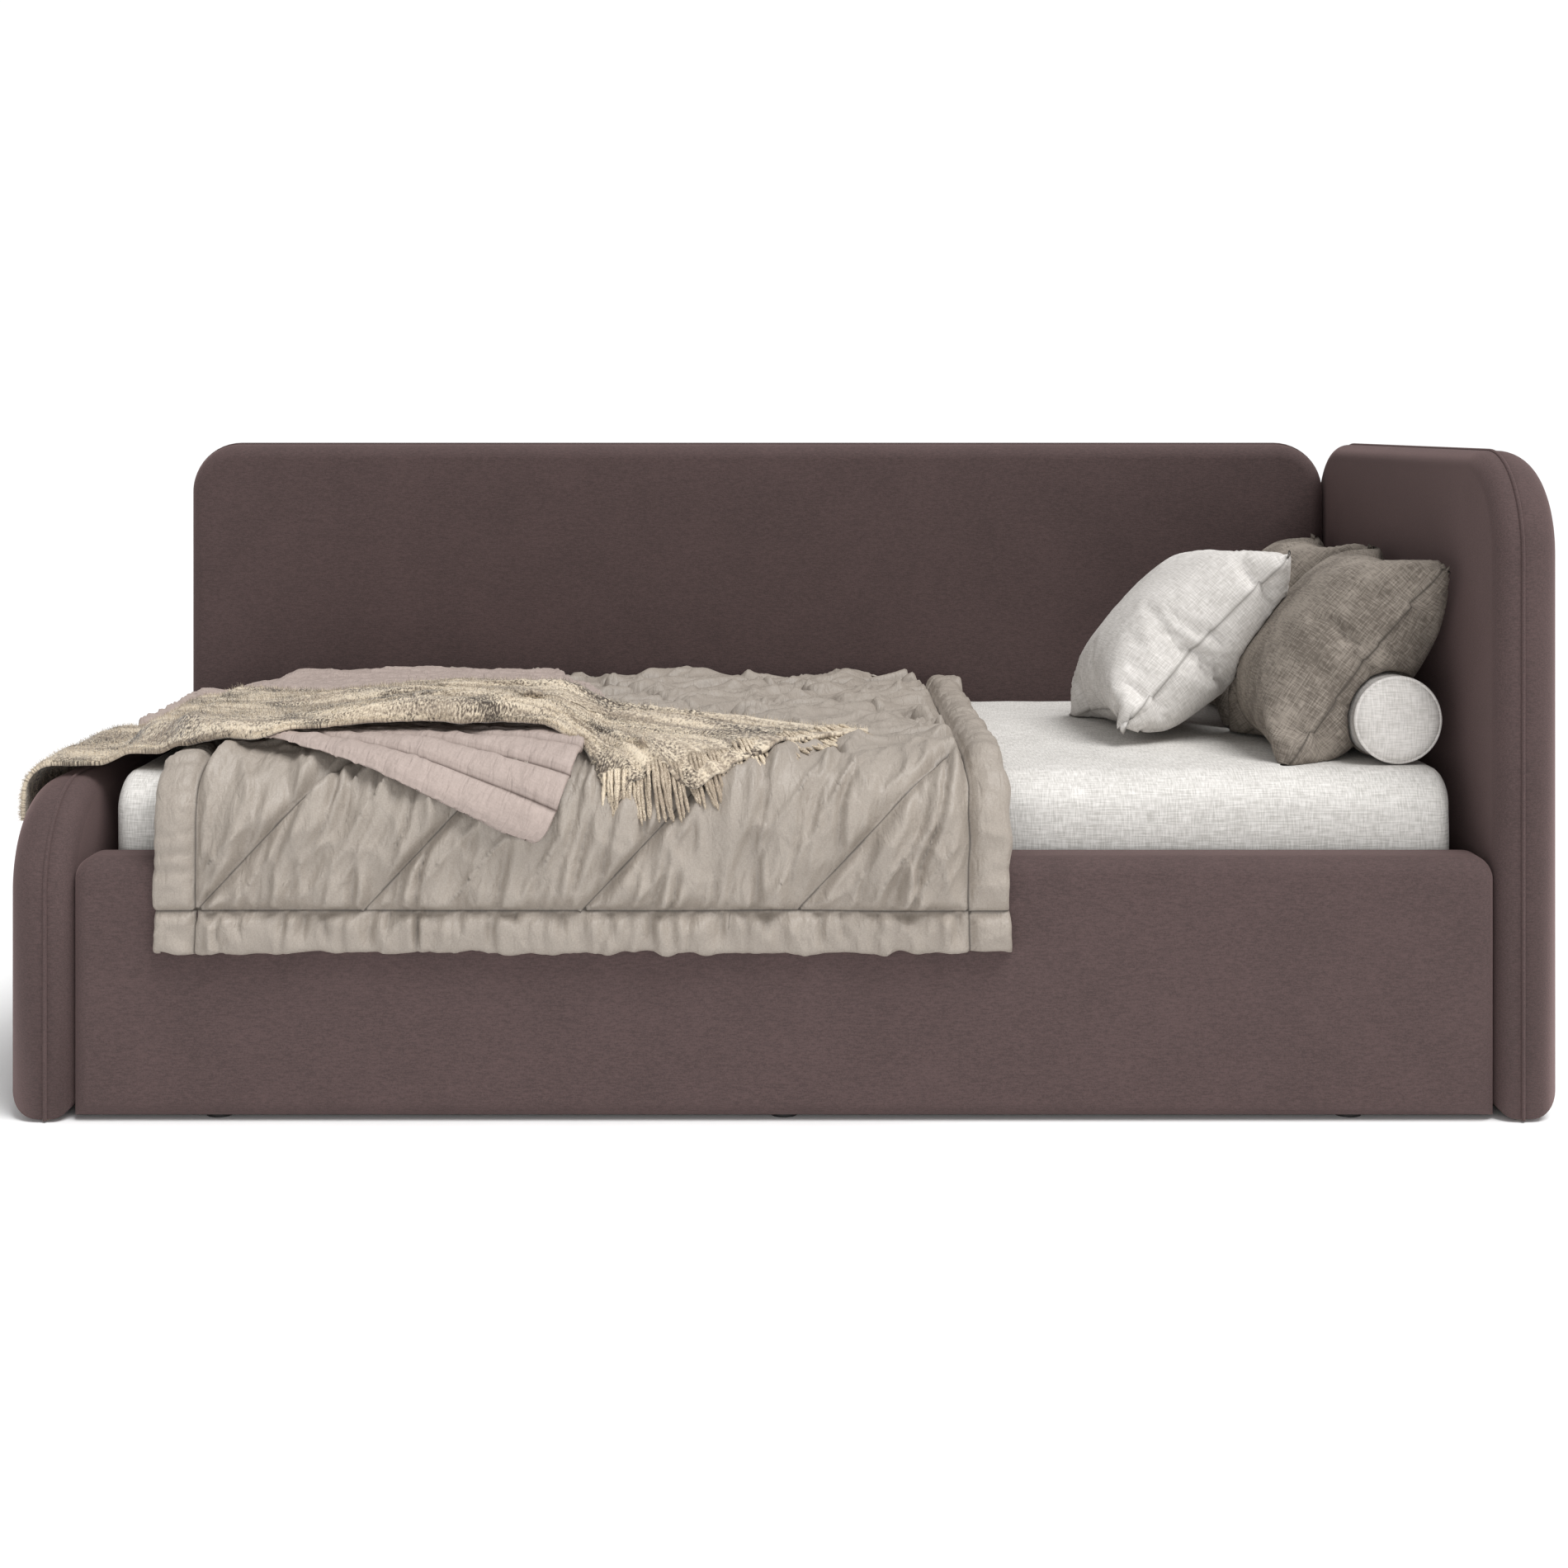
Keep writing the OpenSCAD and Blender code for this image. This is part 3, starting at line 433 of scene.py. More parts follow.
quilt_low, quilt_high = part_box("quilt")
back_y = quilt_high.y - 0.006
fold_r = 0.082
drop_y = quilt_low.y + 0.006
top_z = quilt_high.z - 0.010
fold_s = back_y - (drop_y + fold_r)
drop_s = fold_s + fold_r * math.pi / 2
hem_s = drop_s + (top_z - fold_r) - quilt_low.z
foot_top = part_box("footboard_inner_pad")[1].z
foot_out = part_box("footboard_outer_pad")[0].x
foot_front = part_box("footboard_outer_pad")[0].y
foot_r = 0.03


def drape(x, s, up):
    """The point at x and s on the draped line, and up above it; past the foot panel it hangs outside."""
    x, s, up = (np.asarray(a, float) for a in (x, s, up))
    turn = np.clip((s - fold_s) / fold_r, 0, math.pi / 2)
    below = np.maximum(s - drop_s, 0)
    y = back_y - np.minimum(s, fold_s) - (fold_r + up) * np.sin(turn)
    z = top_z - (fold_r) * (1 - np.cos(turn)) - below + up * np.cos(turn)
    z = z - (top_z - mattress_top - 0.004) * ease(-x, 0.90, 0.94)
    inward = np.clip(foot_front + corner - y, 0, 0.95 * corner)
    rounded = corner - np.sqrt(corner**2 - inward**2)
    z = z - (mattress_top - foot_top + rounded) * ease(-x, 0.98, 1.03)
    past = np.maximum(foot_out + foot_r - x, 0)
    bend = np.clip(past / foot_r, 0, math.pi / 2)
    hang = np.maximum(past - foot_r * math.pi / 2, 0)
    z = z - (foot_r + up) * (1 - np.cos(bend)) - hang
    x = np.where(past > 0, foot_out + foot_r - (foot_r + up) * np.sin(bend), x)
    return np.stack([x, y, z], 1)


print("quilt line: fold at", round(fold_s, 3), "drop at", round(drop_s, 3), "hem at", round(hem_s, 3))

# %% [markdown]
# ## Cloth that is sewn and filled
# A quilt puckers because its cloth is cut longer than its seams and the filling pushes it out.
# The folds are moved in by a rule: deep and short at a seam, longer and softer away from it.
# Each panel between two seams gets folds of its own, so they stop at the stitching as real ones do.

# %% Seams and folds


def split_along(mesh, sewn):
    """Cuts each square that a slanting seam crosses, so that the cloth can crease exactly there."""
    bm = bmesh.new()
    bm.from_mesh(mesh)
    for face in list(bm.faces):
        on = [sewn[v.index] for v in face.verts]
        for k in (0, 1):
            if on[k] and on[k + 2] and not (on[1 - k] or on[(3 - k) % 4]):
                bmesh.utils.face_split(face, face.verts[k], face.verts[k + 2])
                break
    bm.to_mesh(mesh)
    bm.free()


def off_line(x, s, line):
    """How far each place is to one side of a seam, and whether it is beside it and not past its ends."""
    (x0, s0), (x1, s1) = line
    length = math.hypot(x1 - x0, s1 - s0)
    dx, ds = (x1 - x0) / length, (s1 - s0) / length
    along = (x - x0) * dx + (s - s0) * ds
    off = -(x - x0) * ds + (s - s0) * dx
    past = np.maximum(np.maximum(-along, along - length), 0)
    return off, past, (dx, ds)


def snap(x, s, line, reach):
    """Pulls the grid points nearest a seam onto it. The seam is two places on the flat cloth."""
    off, past, (dx, ds) = off_line(x, s, line)
    near = (np.abs(off) < reach) & (past < reach)
    return np.where(near, x + off * ds, x), np.where(near, s - off * dx, s), near


def nearest(x, s, lines):
    """The distance to the nearest of some seams, and a number for the panel between them."""
    distance, panel = np.full(len(x), 9.0), np.zeros(len(x))
    for line in lines:
        off, past, _ = off_line(x, s, line)
        distance = np.minimum(distance, np.hypot(off, past))
        panel += off > 0
    return distance, panel


def filled(along, across, d, panel, puff, reach, fold=0.010, pinch=0.005, wide=0.026):
    """The height of filled cloth at d from its seam; folds lie side by side in the along direction."""
    own = 0.371 * panel
    bent = along + 0.012 * ripple(along + own, across, 0.09, 0.09, 30)
    skew = along + 0.5 * across
    long = np.abs(ripple(bent + own, across + own, wide, 0.15, 31))
    short = np.abs(ripple(bent + 2 * own, across - own, 0.012, 0.05, 32))
    crease = (1 - np.abs(ripple(skew + own, across, 0.045, 0.12, 33))) ** 4
    counter = (1 - np.abs(ripple(along - 0.35 * across + own, across, 0.04, 0.10, 34))) ** 4
    height = puff * (1 - np.exp(-d / reach))
    height += ease(d, 0, 0.014) * fold * long * (0.35 + np.exp(-d / 0.06))
    height += ease(d, 0.004, 0.03) * fold * 0.42 * (crease + 0.8 * counter)
    fine = (1 - np.abs(ripple(bent + 3 * own, across + own, 0.017, 0.07, 35))) ** 3
    height += ease(d, 0.002, 0.02) * fold * 0.24 * fine
    return height + ease(d, 0, 0.004) * pinch * short * np.exp(-d / 0.024)


def curled(x, s, low_x, high_x, low_s, high_s, r):
    """Places on the flat cloth, with all that lies past its edges curled under in a half round."""
    over_x = np.maximum(x - (high_x - r), 0) + np.maximum((low_x + r) - x, 0)
    over_s = np.maximum(s - (high_s - r), 0) + np.maximum((low_s + r) - s, 0)
    turn_x, turn_s = np.clip(over_x / r, 0, math.pi), np.clip(over_s / r, 0, math.pi)
    x = np.clip(x, low_x + r, high_x - r) + np.sign(x - (low_x + high_x) / 2) * r * np.sin(turn_x)
    s = np.clip(s, low_s + r, high_s - r) + np.sign(s - (low_s + high_s) / 2) * r * np.sin(turn_s)
    return x, s, np.minimum(r * (2 - np.cos(turn_x) - np.cos(turn_s)), 2 * r)


# %% [markdown]
# ## Quilt
# The big quilt has a border about 60 mm wide and seams that slope across its middle.
# Its border is gathered, which shows as short upright puckers and a wavy hem.
# The rim is curled under so that the edge looks as thick as the filling.

# %% Quilt seams
step = 0.0044
left_x, right_x = quilt_low.x + 0.004, quilt_high.x - 0.004
border, rim_r, rim = 0.06, 0.008, 0.024
nu, nv = round((right_x - left_x + 2 * rim) / step), round((hem_s + 2 * rim) / step)
quilt_mesh, a, b = cloth_grid("quilt", nu, nv)
flat_x = left_x - rim + a * (right_x - left_x + 2 * rim)
flat_s = -rim + (1 - b) * (hem_s + 2 * rim)
border_s = hem_s - border
inside_left, inside_right = left_x + border, right_x - border
frame_seams = [
    ((inside_left, -1), (inside_left, 2)),
    ((inside_right, -1), (inside_right, 2)),
    ((left_x - 1, border_s), (right_x + 1, border_s)),
    ((left_x - 1, border), (right_x + 1, border)),
]
drop_rise = border_s - (fold_s + 0.012)


def between_borders(line):
    """The stretch of a slanting seam between the two side borders, or nothing."""
    (x0, s0), (x1, s1) = line
    t0, t1 = sorted(((inside_left - x0) / (x1 - x0), (inside_right - x0) / (x1 - x0)))
    t0, t1 = max(t0, 0), min(t1, 1)
    ends = [(x0 + (x1 - x0) * t, s0 + (s1 - s0) * t) for t in (t0, t1)]
    return ends if t1 > t0 + 0.02 else None


drop_seams = [
    between_borders(((foot_x, border_s), (foot_x + 0.94 * drop_rise, border_s - drop_rise)))
    for foot_x in (inside_left + 0.002, -0.605, -0.291, 0.019)
]
top_seams = [
    between_borders(((far_x, border), (far_x + 0.546 * (fold_s - border), fold_s)))
    for far_x in (-0.058 + k * 0.31 for k in range(-4, 3))
]
drop_seams, top_seams = [l for l in drop_seams if l], [l for l in top_seams if l]
sewn = np.zeros(len(flat_x), bool)
for line in frame_seams + drop_seams + top_seams:
    flat_x, flat_s, near = snap(flat_x, flat_s, line, step * 0.5)
    sewn |= near
split_along(quilt_mesh, sewn)
print("quilt seams:", len(frame_seams), len(drop_seams), len(top_seams))

# %% Quilt folds
off_frame = nearest(flat_x, flat_s, frame_seams)[0]
off_drop, drop_panel = nearest(flat_x, flat_s, drop_seams)
off_top, top_panel = nearest(flat_x, flat_s, top_seams)
lean = math.atan(0.546)
seam_way = flat_s * math.cos(lean) + flat_x * math.sin(lean)
seam_off = flat_x * math.cos(lean) - flat_s * math.sin(lean)
upright = flat_x + 0.22 * (flat_s - fold_s)
off_drop, off_top = np.minimum(off_frame, off_drop), np.minimum(off_frame, off_top)
on_drop = filled(upright, flat_s, off_drop, drop_panel, 0.008, 0.03, 0.028, 0.008, 0.020)
on_top = filled(seam_way, seam_off, off_top, top_panel + 11, 0.015, 0.035, 0.026, 0.008)
height = on_top + (on_drop - on_top) * ease(flat_s, fold_s - 0.05, fold_s + 0.05)
beside = (flat_x < inside_left) | (flat_x > inside_right)
roll = np.sqrt(np.clip(off_frame * (border - off_frame), 0, None)) / (border / 2)
fat = 0.008 + 0.012 * (flat_x > 0) * (1 - 0.6 * ease(flat_s, fold_s, drop_s))
side = fat * roll + filled(flat_s, flat_x, off_frame, (flat_x > 0) + 23, 0.001, 0.03, 0.010, 0.007)
height = np.where(beside, side, height)
hem_band = flat_s > border_s
gathers = np.zeros(len(flat_x))
chance = np.random.default_rng(5)
place = left_x + 0.02
while place < right_x - 0.02:
    deep, slope = chance.uniform(0.02, 0.07), chance.uniform(-0.15, 0.15)
    wide = chance.uniform(0.004, 0.008)
    off = np.abs(flat_x - place - slope * (flat_s - border_s))
    fading = 1 - ease(flat_s, border_s + deep * 0.4, border_s + deep)
    gathers = np.maximum(gathers, np.exp(-((off / wide) ** 1.4)) * fading)
    place += chance.uniform(0.025, 0.075)
band = filled(flat_x, flat_s, off_frame, 41, 0.001, 0.02, 0.017, 0.008, 0.018)
band = 0.005 + 0.007 * roll + band - 0.018 * gathers
height = np.where(hem_band & ~beside, band, height)
slow = 0.006 * ripple(flat_x, flat_s, 0.16, 0.35, 21) * ease(flat_s, fold_s, hem_s)
x, s, under = curled(flat_x, flat_s, left_x, right_x, 0.0, hem_s, rim_r)
scallop = ease(flat_s, border_s, hem_s) * (0.004 * ripple(flat_x, flat_s, 0.028, 0.3, 24) - 0.007 * gathers)
from_middle = np.abs(flat_x - (left_x + right_x) / 2)
ruffle = 0.004 * ripple(flat_s, flat_x, 0.04, 0.3, 25) * ease(from_middle, 0.5, 0.62)
quilt_at = [x + ruffle, s + scallop, height * 0.9 + slow - under]
set_points(quilt_mesh, drape(*quilt_at))
lay_out(quilt_mesh, flat_x, flat_s)
# the seam marks tell the finish where to paint the thread line and its painted shade
mark(quilt_mesh, "seam", sewn)
quilt = piece("quilt_cover", quilt_mesh, satin_taupe, "lift_base", ["quilt"])
print("quilt folds up to", round(float(height.max()), 4), "m high,", len(quilt_mesh.polygons), "faces")

# %% [markdown]
# ## Foot quilt
# A second, thinner quilt lies askew over the foot of the first, one corner hanging over the front.
# It is sewn in narrow channels that follow its lower edge and fan out a little.
# Its places on the draped line are a stretched square, so channels are simply equal shares of it.

# %% Foot quilt
tip = (-0.355, drop_s + 0.016)
foot_end_x = -1.075
bulge_x = 0.11
nu, nv = 170, 228
pink_mesh, a, b = cloth_grid("foot_quilt", nu, nv)
pink_rim = 0.012
length, breadth = 0.78, 0.95
flat_u = -pink_rim + a * (length + 2 * pink_rim)
flat_v = -pink_rim + b * (breadth + 2 * pink_rim)
channel = breadth / 27
line_v = np.round(flat_v / channel) * channel
pink_sewn = (np.abs(flat_v - line_v) < 0.0022) & (line_v > 0.001) & (line_v < breadth - 0.001)
flat_v = np.where(pink_sewn, line_v, flat_v)
u, v, under = curled(flat_u, flat_v, 0.0, length, 0.0, breadth, 0.004)
p, q = u / length, v / breadth


def near_edge(p):
    """The foot quilt's lower edge at the share p of its way from the hanging tip to the foot end."""
    along = tip[0] + (foot_end_x - tip[0]) * p
    return along, tip[1] + (0.796 - tip[1]) * p - 0.10 * ease(p, 0.62, 1.0)


near_x, near_s = near_edge(p)
far_x = -0.42 + (-1.085 + 0.42) * p
far_s = 0.05 + 0 * p
x = near_x * (1 - q) + far_x * q + bulge_x * np.sin(math.pi * np.clip(q, 0, 1) ** 0.7) * (1 - p) ** 2
s = near_s * (1 - q) + far_s * q
row = np.floor(flat_v / channel)
off = np.abs(flat_v / channel - np.round(flat_v / channel)) * channel
full = np.sqrt(np.clip(off * (channel - off), 0, None)) / (channel / 2)
fold = np.abs(ripple(flat_u + 0.31 * row, flat_v, 0.016, 0.06, 51)) * np.exp(-off / 0.012)
crease = (1 - np.abs(ripple(flat_u + 0.4 * flat_v + 0.31 * row, flat_v, 0.05, 0.04, 54))) ** 4
height = 0.0085 * full + 0.0065 * fold * ease(off, 0, 0.003) + 0.004 * crease * full
height += 0.004 * ripple(flat_u, flat_v, 0.11, 0.16, 52) + 0.004 * ripple(flat_u, flat_v, 0.3, 0.3, 53)
over_foot = ease(-x, 0.93, 1.0)
pink_at = [x, s, 0.033 + height - under - 0.010 * over_foot]
set_points(pink_mesh, drape(*pink_at))
lay_out(pink_mesh, flat_u, flat_v)
# the seam marks tell the finish where to paint the thread line and its painted shade
mark(pink_mesh, "seam", pink_sewn)
bm = bmesh.new()
bm.from_mesh(pink_mesh)
bmesh.ops.reverse_faces(bm, faces=bm.faces)
bm.to_mesh(pink_mesh)
bm.free()
foot_quilt = piece("foot_quilt_cover", pink_mesh, cotton_pink, "lift_base", ["foot_quilt"])
print("foot quilt channels", round(channel * 1000), "mm wide")

# %% [markdown]
# ## Throw
# A brushed wool throw runs over the foot panel and along the bed, bunches, and fans out at its end.
# Its two long edges are drawn as smooth lines, and the cloth is spread between them in deep folds.
# Brushed wool is mostly hair: thousands of short bent fibres stand on it, and tassels end it.

# %% Throw


def smooth_line(knots, t):
    """A smooth line through its knots, as rows of values for every t from 0 to 1."""
    knots = np.array(knots, float)
    at = np.linspace(0, 1, len(knots))
    slope = np.gradient(knots, at, axis=0)
    k = np.clip(np.searchsorted(at, t, side="right") - 1, 0, len(knots) - 2)
    h = (at[k + 1] - at[k])[:, None]
    f = ((t - at[k])[:, None]) / h
    a0, a1, b0, b1 = knots[k], knots[k + 1], slope[k] * h, slope[k + 1] * h
    start = a0 * (1 + 2 * f) * (1 - f) ** 2 + b0 * f * (1 - f) ** 2
    return start + a1 * f * f * (3 - 2 * f) + b1 * f * f * (f - 1)


front_edge = [
    (-1.185, 0.835), (-1.10, 0.835), (-0.99, 0.84), (-0.88, 0.87), (-0.77, 0.905), (-0.66, 0.890),
    (-0.55, 0.885), (-0.44, 0.880), (-0.36, 0.875), (-0.295, 0.915), (-0.250, 0.978),
]
back_edge = [
    (-1.185, 0.47), (-1.10, 0.47), (-0.99, 0.465), (-0.88, 0.475), (-0.77, 0.53), (-0.66, 0.55),
    (-0.53, 0.56), (-0.39, 0.555), (-0.23, 0.58), (-0.05, 0.66), (0.135, 0.76),
]
nu, nv = 300, 110
throw_long, throw_wide, throw_thick = 1.34, 0.38, 0.006


def throw_place(t, w):
    """Where the throw is at t along it and w across it, both from 0 to 1: x, s and its height."""
    front, back = smooth_line(front_edge, t), smooth_line(back_edge, t)
    ruck = 0.02 * ease(t, 0.35, 0.6) * ripple(t * 1.5, w * 0.5, 0.09, 0.05, 60)
    spread = w + 0.02 * ripple(t * 2.0, w, 0.13, 0.2, 61) * np.sin(math.pi * w)
    place = front * (1 - spread)[:, None] + back * spread[:, None]
    place[:, 1] += 0.07 * ease(t, 0.6, 1.0) * np.sin(math.pi * np.clip(w, 0, 1) ** 1.2)
    bunch = ease(t, 0.3, 0.62)
    fan = ease(t, 0.62, 1.0)
    across = w * 0.5
    ridges = np.abs(ripple(across + 0.05 * np.sin(5 * t), t * 1.6, 0.030, 0.45, 62))
    broad = 0.5 + 0.5 * ripple(across - 0.08 * t, t * 1.6, 0.085, 0.35, 63)
    height = (0.004 + 0.012 * bunch - 0.004 * fan) * ridges
    height += (0.006 + 0.032 * bunch * (1 - 0.7 * fan)) * broad
    height += 0.0016 * ripple(t * 1.6, across, 0.012, 0.09, 64)
    edge = np.minimum(w, 1 - w) * 0.45
    height = height * ease(edge, -0.012, 0.03) + 0.004
    x, s = place[:, 0], place[:, 1]
    share = np.clip((x - tip[0]) / (foot_end_x - tip[0]), 0, 1)
    on_quilt = ease(near_edge(share)[1] + 0.035 - s, 0, 0.05) * (1 - ease(x, -0.36, -0.26))
    layer = 0.012 + 0.030 * on_quilt + 0.008 * ease(-x, -0.5, 0.0)
    layer = np.where(x < -0.93, 0.014 + (layer - 0.014) * (1 - ease(-x, 0.95, 1.06)), layer)
    return place[:, 0] + ruck * 0.3, place[:, 1] + ruck, layer + height


throw_mesh, t, w = cloth_grid("throw", nu, nv)
x, s, up = throw_place(t, w)
top = drape(x, s, up)
set_points(throw_mesh, top)
lay_out(throw_mesh, t * throw_long, w * throw_wide)


def wool_finish(name, fibres):
    """Brushed wool with lengthwise stripes, cream and grey-brown, and charcoal in patches."""
    made = bpy.data.materials.new(name)
    made.use_nodes = True
    tree = made.node_tree
    shader = tree.nodes["Principled BSDF"]
    place = add(tree, "ShaderNodeTexCoord").outputs["UV"]
    stretched = add(tree, "ShaderNodeMapping", {"Scale": (4, 60, 1)}, {"Vector": place})
    values = {"Scale": 1.0, "Detail": 1.5}
    stripe = add(tree, "ShaderNodeTexNoise", values, {"Vector": stretched.outputs[0]})
    patches = add(tree, "ShaderNodeMapping", {"Scale": (9, 16, 1)}, {"Vector": place})
    values = {"Scale": 1.0, "Detail": 3.0}
    patch = add(tree, "ShaderNodeTexNoise", values, {"Vector": patches.outputs[0]})
    # specks the size of a loop of yarn break up the edges of both
    speck = add(tree, "ShaderNodeTexNoise", {"Scale": 260.0, "Detail": 2.0}, {"Vector": place})
    grainy = add(tree, "ShaderNodeMath", {1: 0.8, 2: -0.4}, {0: speck.outputs[0]}, operation="MULTIPLY_ADD")
    links = {0: stripe.outputs[0], 1: grainy.outputs[0]}
    rough_stripe = add(tree, "ShaderNodeMath", None, links, operation="ADD")
    links = {0: patch.outputs[0], 1: grainy.outputs[0]}
    rough_patch = add(tree, "ShaderNodeMath", None, links, operation="ADD")
    is_grey = add(tree, "ShaderNodeMapRange", {1: 0.40, 2: 0.62}, {0: rough_stripe.outputs[0]})
    is_dark = add(tree, "ShaderNodeMapRange", {1: 0.50, 2: 0.70}, {0: rough_patch.outputs[0]})
    cream_and_grey = {6: linear("#d8cab4"), 7: linear("#9a8c7c")}
    two = add(tree, "ShaderNodeMix", cream_and_grey, {0: is_grey.outputs[0]}, data_type="RGBA")
    links = {0: is_dark.outputs[0], 6: two.outputs[2]}
    three = add(tree, "ShaderNodeMix", {7: linear("#4b423b")}, links, data_type="RGBA")
    tree.links.new(three.outputs[2], shader.inputs["Base Color"])
    ribs = add(tree, "ShaderNodeTexNoise", {"Scale": 220.0, "Detail": 3.0}, {"Vector": place})
    values = {"Strength": 0.2 if fibres else 0.9, "Distance": 0.004}
    bump = add(tree, "ShaderNodeBump", values, {"Height": ribs.outputs[0]})
    tree.links.new(bump.outputs[0], shader.inputs["Normal"])
    shader.inputs["Roughness"].default_value = 0.95
    shader.inputs["Specular IOR Level"].default_value = 0.15
    shader.inputs["Sheen Weight"].default_value = 0.3
    return made


# brushed wool: cream and grey-brown stripes, broken up by charcoal; no gloss at all
wool, wool_hair = wool_finish("brushed wool", False), wool_finish("wool fibre", True)
throw = piece("throw_cover", throw_mesh, wool, "lift_base", ["throw"])
thick = throw.modifiers.new("thickness", "SOLIDIFY")
thick.thickness, thick.offset = throw_thick, -1
print("throw:", len(throw_mesh.polygons), "faces")

# %% Throw fibres
chance = np.random.default_rng(8)
count, fibre_r = 48000, 0.00022
ft, fw = chance.uniform(0, 1, count), chance.uniform(0, 1, count)
# one in seven stands on a long edge and points off it
edges = count // 7
near_side = chance.uniform(0, 1, edges) < 0.5
fw[:edges] = np.where(near_side, chance.uniform(0, 0.015, edges), 1 - chance.uniform(0, 0.015, edges))
x, s, up = throw_place(ft, fw)
root = drape(x, s, up)
outward = drape(x, s, up + 0.01) - root
outward /= np.linalg.norm(outward, axis=1, keepdims=True)
stray = chance.normal(0, 1, (count, 3))
stray[:edges, 1] += np.where(fw[:edges] < 0.5, -1.6, 1.6)
stray /= np.linalg.norm(stray, axis=1, keepdims=True)
reach = chance.uniform(0.004, 0.009, count)[:, None]
middle = root + outward * reach * 0.30 + stray * reach * 0.45
end = root + outward * reach * 0.26 + stray * reach * 1.0
side = np.cross(stray, outward)
side *= fibre_r / np.maximum(np.linalg.norm(side, axis=1, keepdims=True), 1e-9)
bm = bmesh.new()
flat = bm.loops.layers.uv.new("flat")
rows = np.stack([root - side, root + side, middle + side * 0.8, middle - side * 0.8, end], 1)
for k in range(count):
    v = [bm.verts.new(c) for c in rows[k]]
    for face in (bm.faces.new(v[:4]), bm.faces.new((v[3], v[2], v[4]))):
        for loop in face.loops:
            loop[flat].uv = (ft[k] * throw_long, fw[k] * throw_wide)
hair_mesh = mesh_of(bm, "throw_fibres", outward=False)
hair = piece("throw_fibres", hair_mesh, wool_hair, "lift_base")
print("fibres:", count)

# %% [markdown]
# ## Layers pressed together
# Cloth that lies under other cloth is pressed flatter by it.
# Each lower layer's heights are cut to just under the upper layer, measured straight off the bed.

# %% Pressed layers


def press(mesh, at, upper, gap):
    """Lowers a layer wherever it would come within the gap under the upper piece."""
    base = drape(at[0], at[1], 0 * at[2])
    outward = drape(at[0], at[1], 0 * at[2] + 0.1) - base
    outward /= np.linalg.norm(outward, axis=1, keepdims=True)
    tree = BVHTree.FromObject(upper, bpy.context.evaluated_depsgraph_get())
    low, high = points_of(upper.data).min(0) - 0.05, points_of(upper.data).max(0) + 0.05
    near = np.flatnonzero(((base > low) & (base < high)).all(1) & (at[2] > 0.002))
    lowered = 0
    for i in near:
        reach = tree.ray_cast(Vector(base[i]), Vector(outward[i]), at[2][i] + gap)[3]
        if reach is not None:
            at[2][i] = max(reach - gap, 0.002)
            lowered += 1
    set_points(mesh, drape(*at))
    print(mesh.name, "pressed at", lowered, "places under", upper.name)


layer_gap = 0.003
press(pink_mesh, pink_at, throw, layer_gap)
press(quilt_mesh, quilt_at, throw, layer_gap)
press(quilt_mesh, quilt_at, foot_quilt, layer_gap)

# %% [markdown]
# ## Tassels
# Each tassel is two strands of the throw's own yarn twisted together.
# A small two-lobed outline is turned as it travels along the tassel, which gives the twist.
# They hang straight at the corner that hangs over, and lie along the quilt further on.

# %% Tassels
bm = bmesh.new()
flat = bm.loops.layers.uv.new("flat")
tassels, rings, sides, tassel_r = 74, 12, 8, 0.0034
for k in range(tassels):
    w0 = (k + 0.5 + chance.uniform(-0.2, 0.2)) / tassels
    x0, s0, up0 = (float(c[0]) for c in throw_place(np.array([0.985]), np.array([w0])))
    long = chance.uniform(0.058, 0.074) * (1 - 0.1 * w0)
    way = math.radians(-4 + 66 * w0 + chance.uniform(-3, 3))
    bend = chance.uniform(-0.12, 0.12)
    line_x, line_s, line_up = [], [], []
    for j in range(rings):
        f = j / (rings - 1)
        line_x.append(x0 + long * f * math.sin(way + bend * f))
        line_s.append(s0 + long * f * math.cos(way + bend * f))
        line_up.append(up0 + (0.0185 - up0) * ease(f, 0, 0.8) if s0 > 0 else up0)
    line = drape(line_x, line_s, line_up)
    nearby = drape(line_x, line_s, np.array(line_up, float) + 0.01)
    loops = []
    for j in range(rings):
        f = j / (rings - 1)
        ahead = Vector(line[min(j + 1, rings - 1)] - line[max(j - 1, 0)]).normalized()
        up_way = Vector(nearby[j] - line[j]).normalized()
        across = ahead.cross(up_way).normalized()
        up_way = across.cross(ahead)
        size = tassel_r * (1 - 0.2 * f) * (0.35 if j == rings - 1 else 1.0)
        loop = []
        for i in range(sides):
            turn = 2 * math.pi * i / sides
            r = size * (0.72 + 0.38 * abs(math.cos(turn)))
            spin = turn + 9 * f + k
            aside, above = across * (r * math.cos(spin)), up_way * (r * math.sin(spin))
            loop.append(bm.verts.new(Vector(line[j]) + aside + above))
        loops.append(loop)
    faces = []
    for one, two in zip(loops, loops[1:]):
        for i in range(sides):
            faces.append(bm.faces.new((one[i], one[(i + 1) % sides], two[(i + 1) % sides], two[i])))
    faces += [bm.faces.new(loops[0]), bm.faces.new(loops[-1])]
    for face in faces:
        for corner_loop in face.loops:
            corner_loop[flat].uv = (throw_long, w0 * throw_wide)
# twisted cream yarn
yarn = cloth_finish("cream yarn", "#d8cab4", "#9a8c7c", 0.95, 0.3, 0.0016, 0.0004, (1, 1), False, 2.2, 0.15)
fringe_mesh = mesh_of(bm, "throw_tassels")
fringe = piece("throw_tassels", fringe_mesh, yarn, "lift_base", ["throw_fringe"])
print("tassels:", tassels)

# %% [markdown]
# ## Cushions
# A cushion cover is two square cloths sewn together at their edges and filled.
# That is also how it is made here: two flat squares joined at the rim are blown up as cloth.
# The edges pull in between the corners by themselves, and small wrinkles run in from the seam.

# %% Cushion


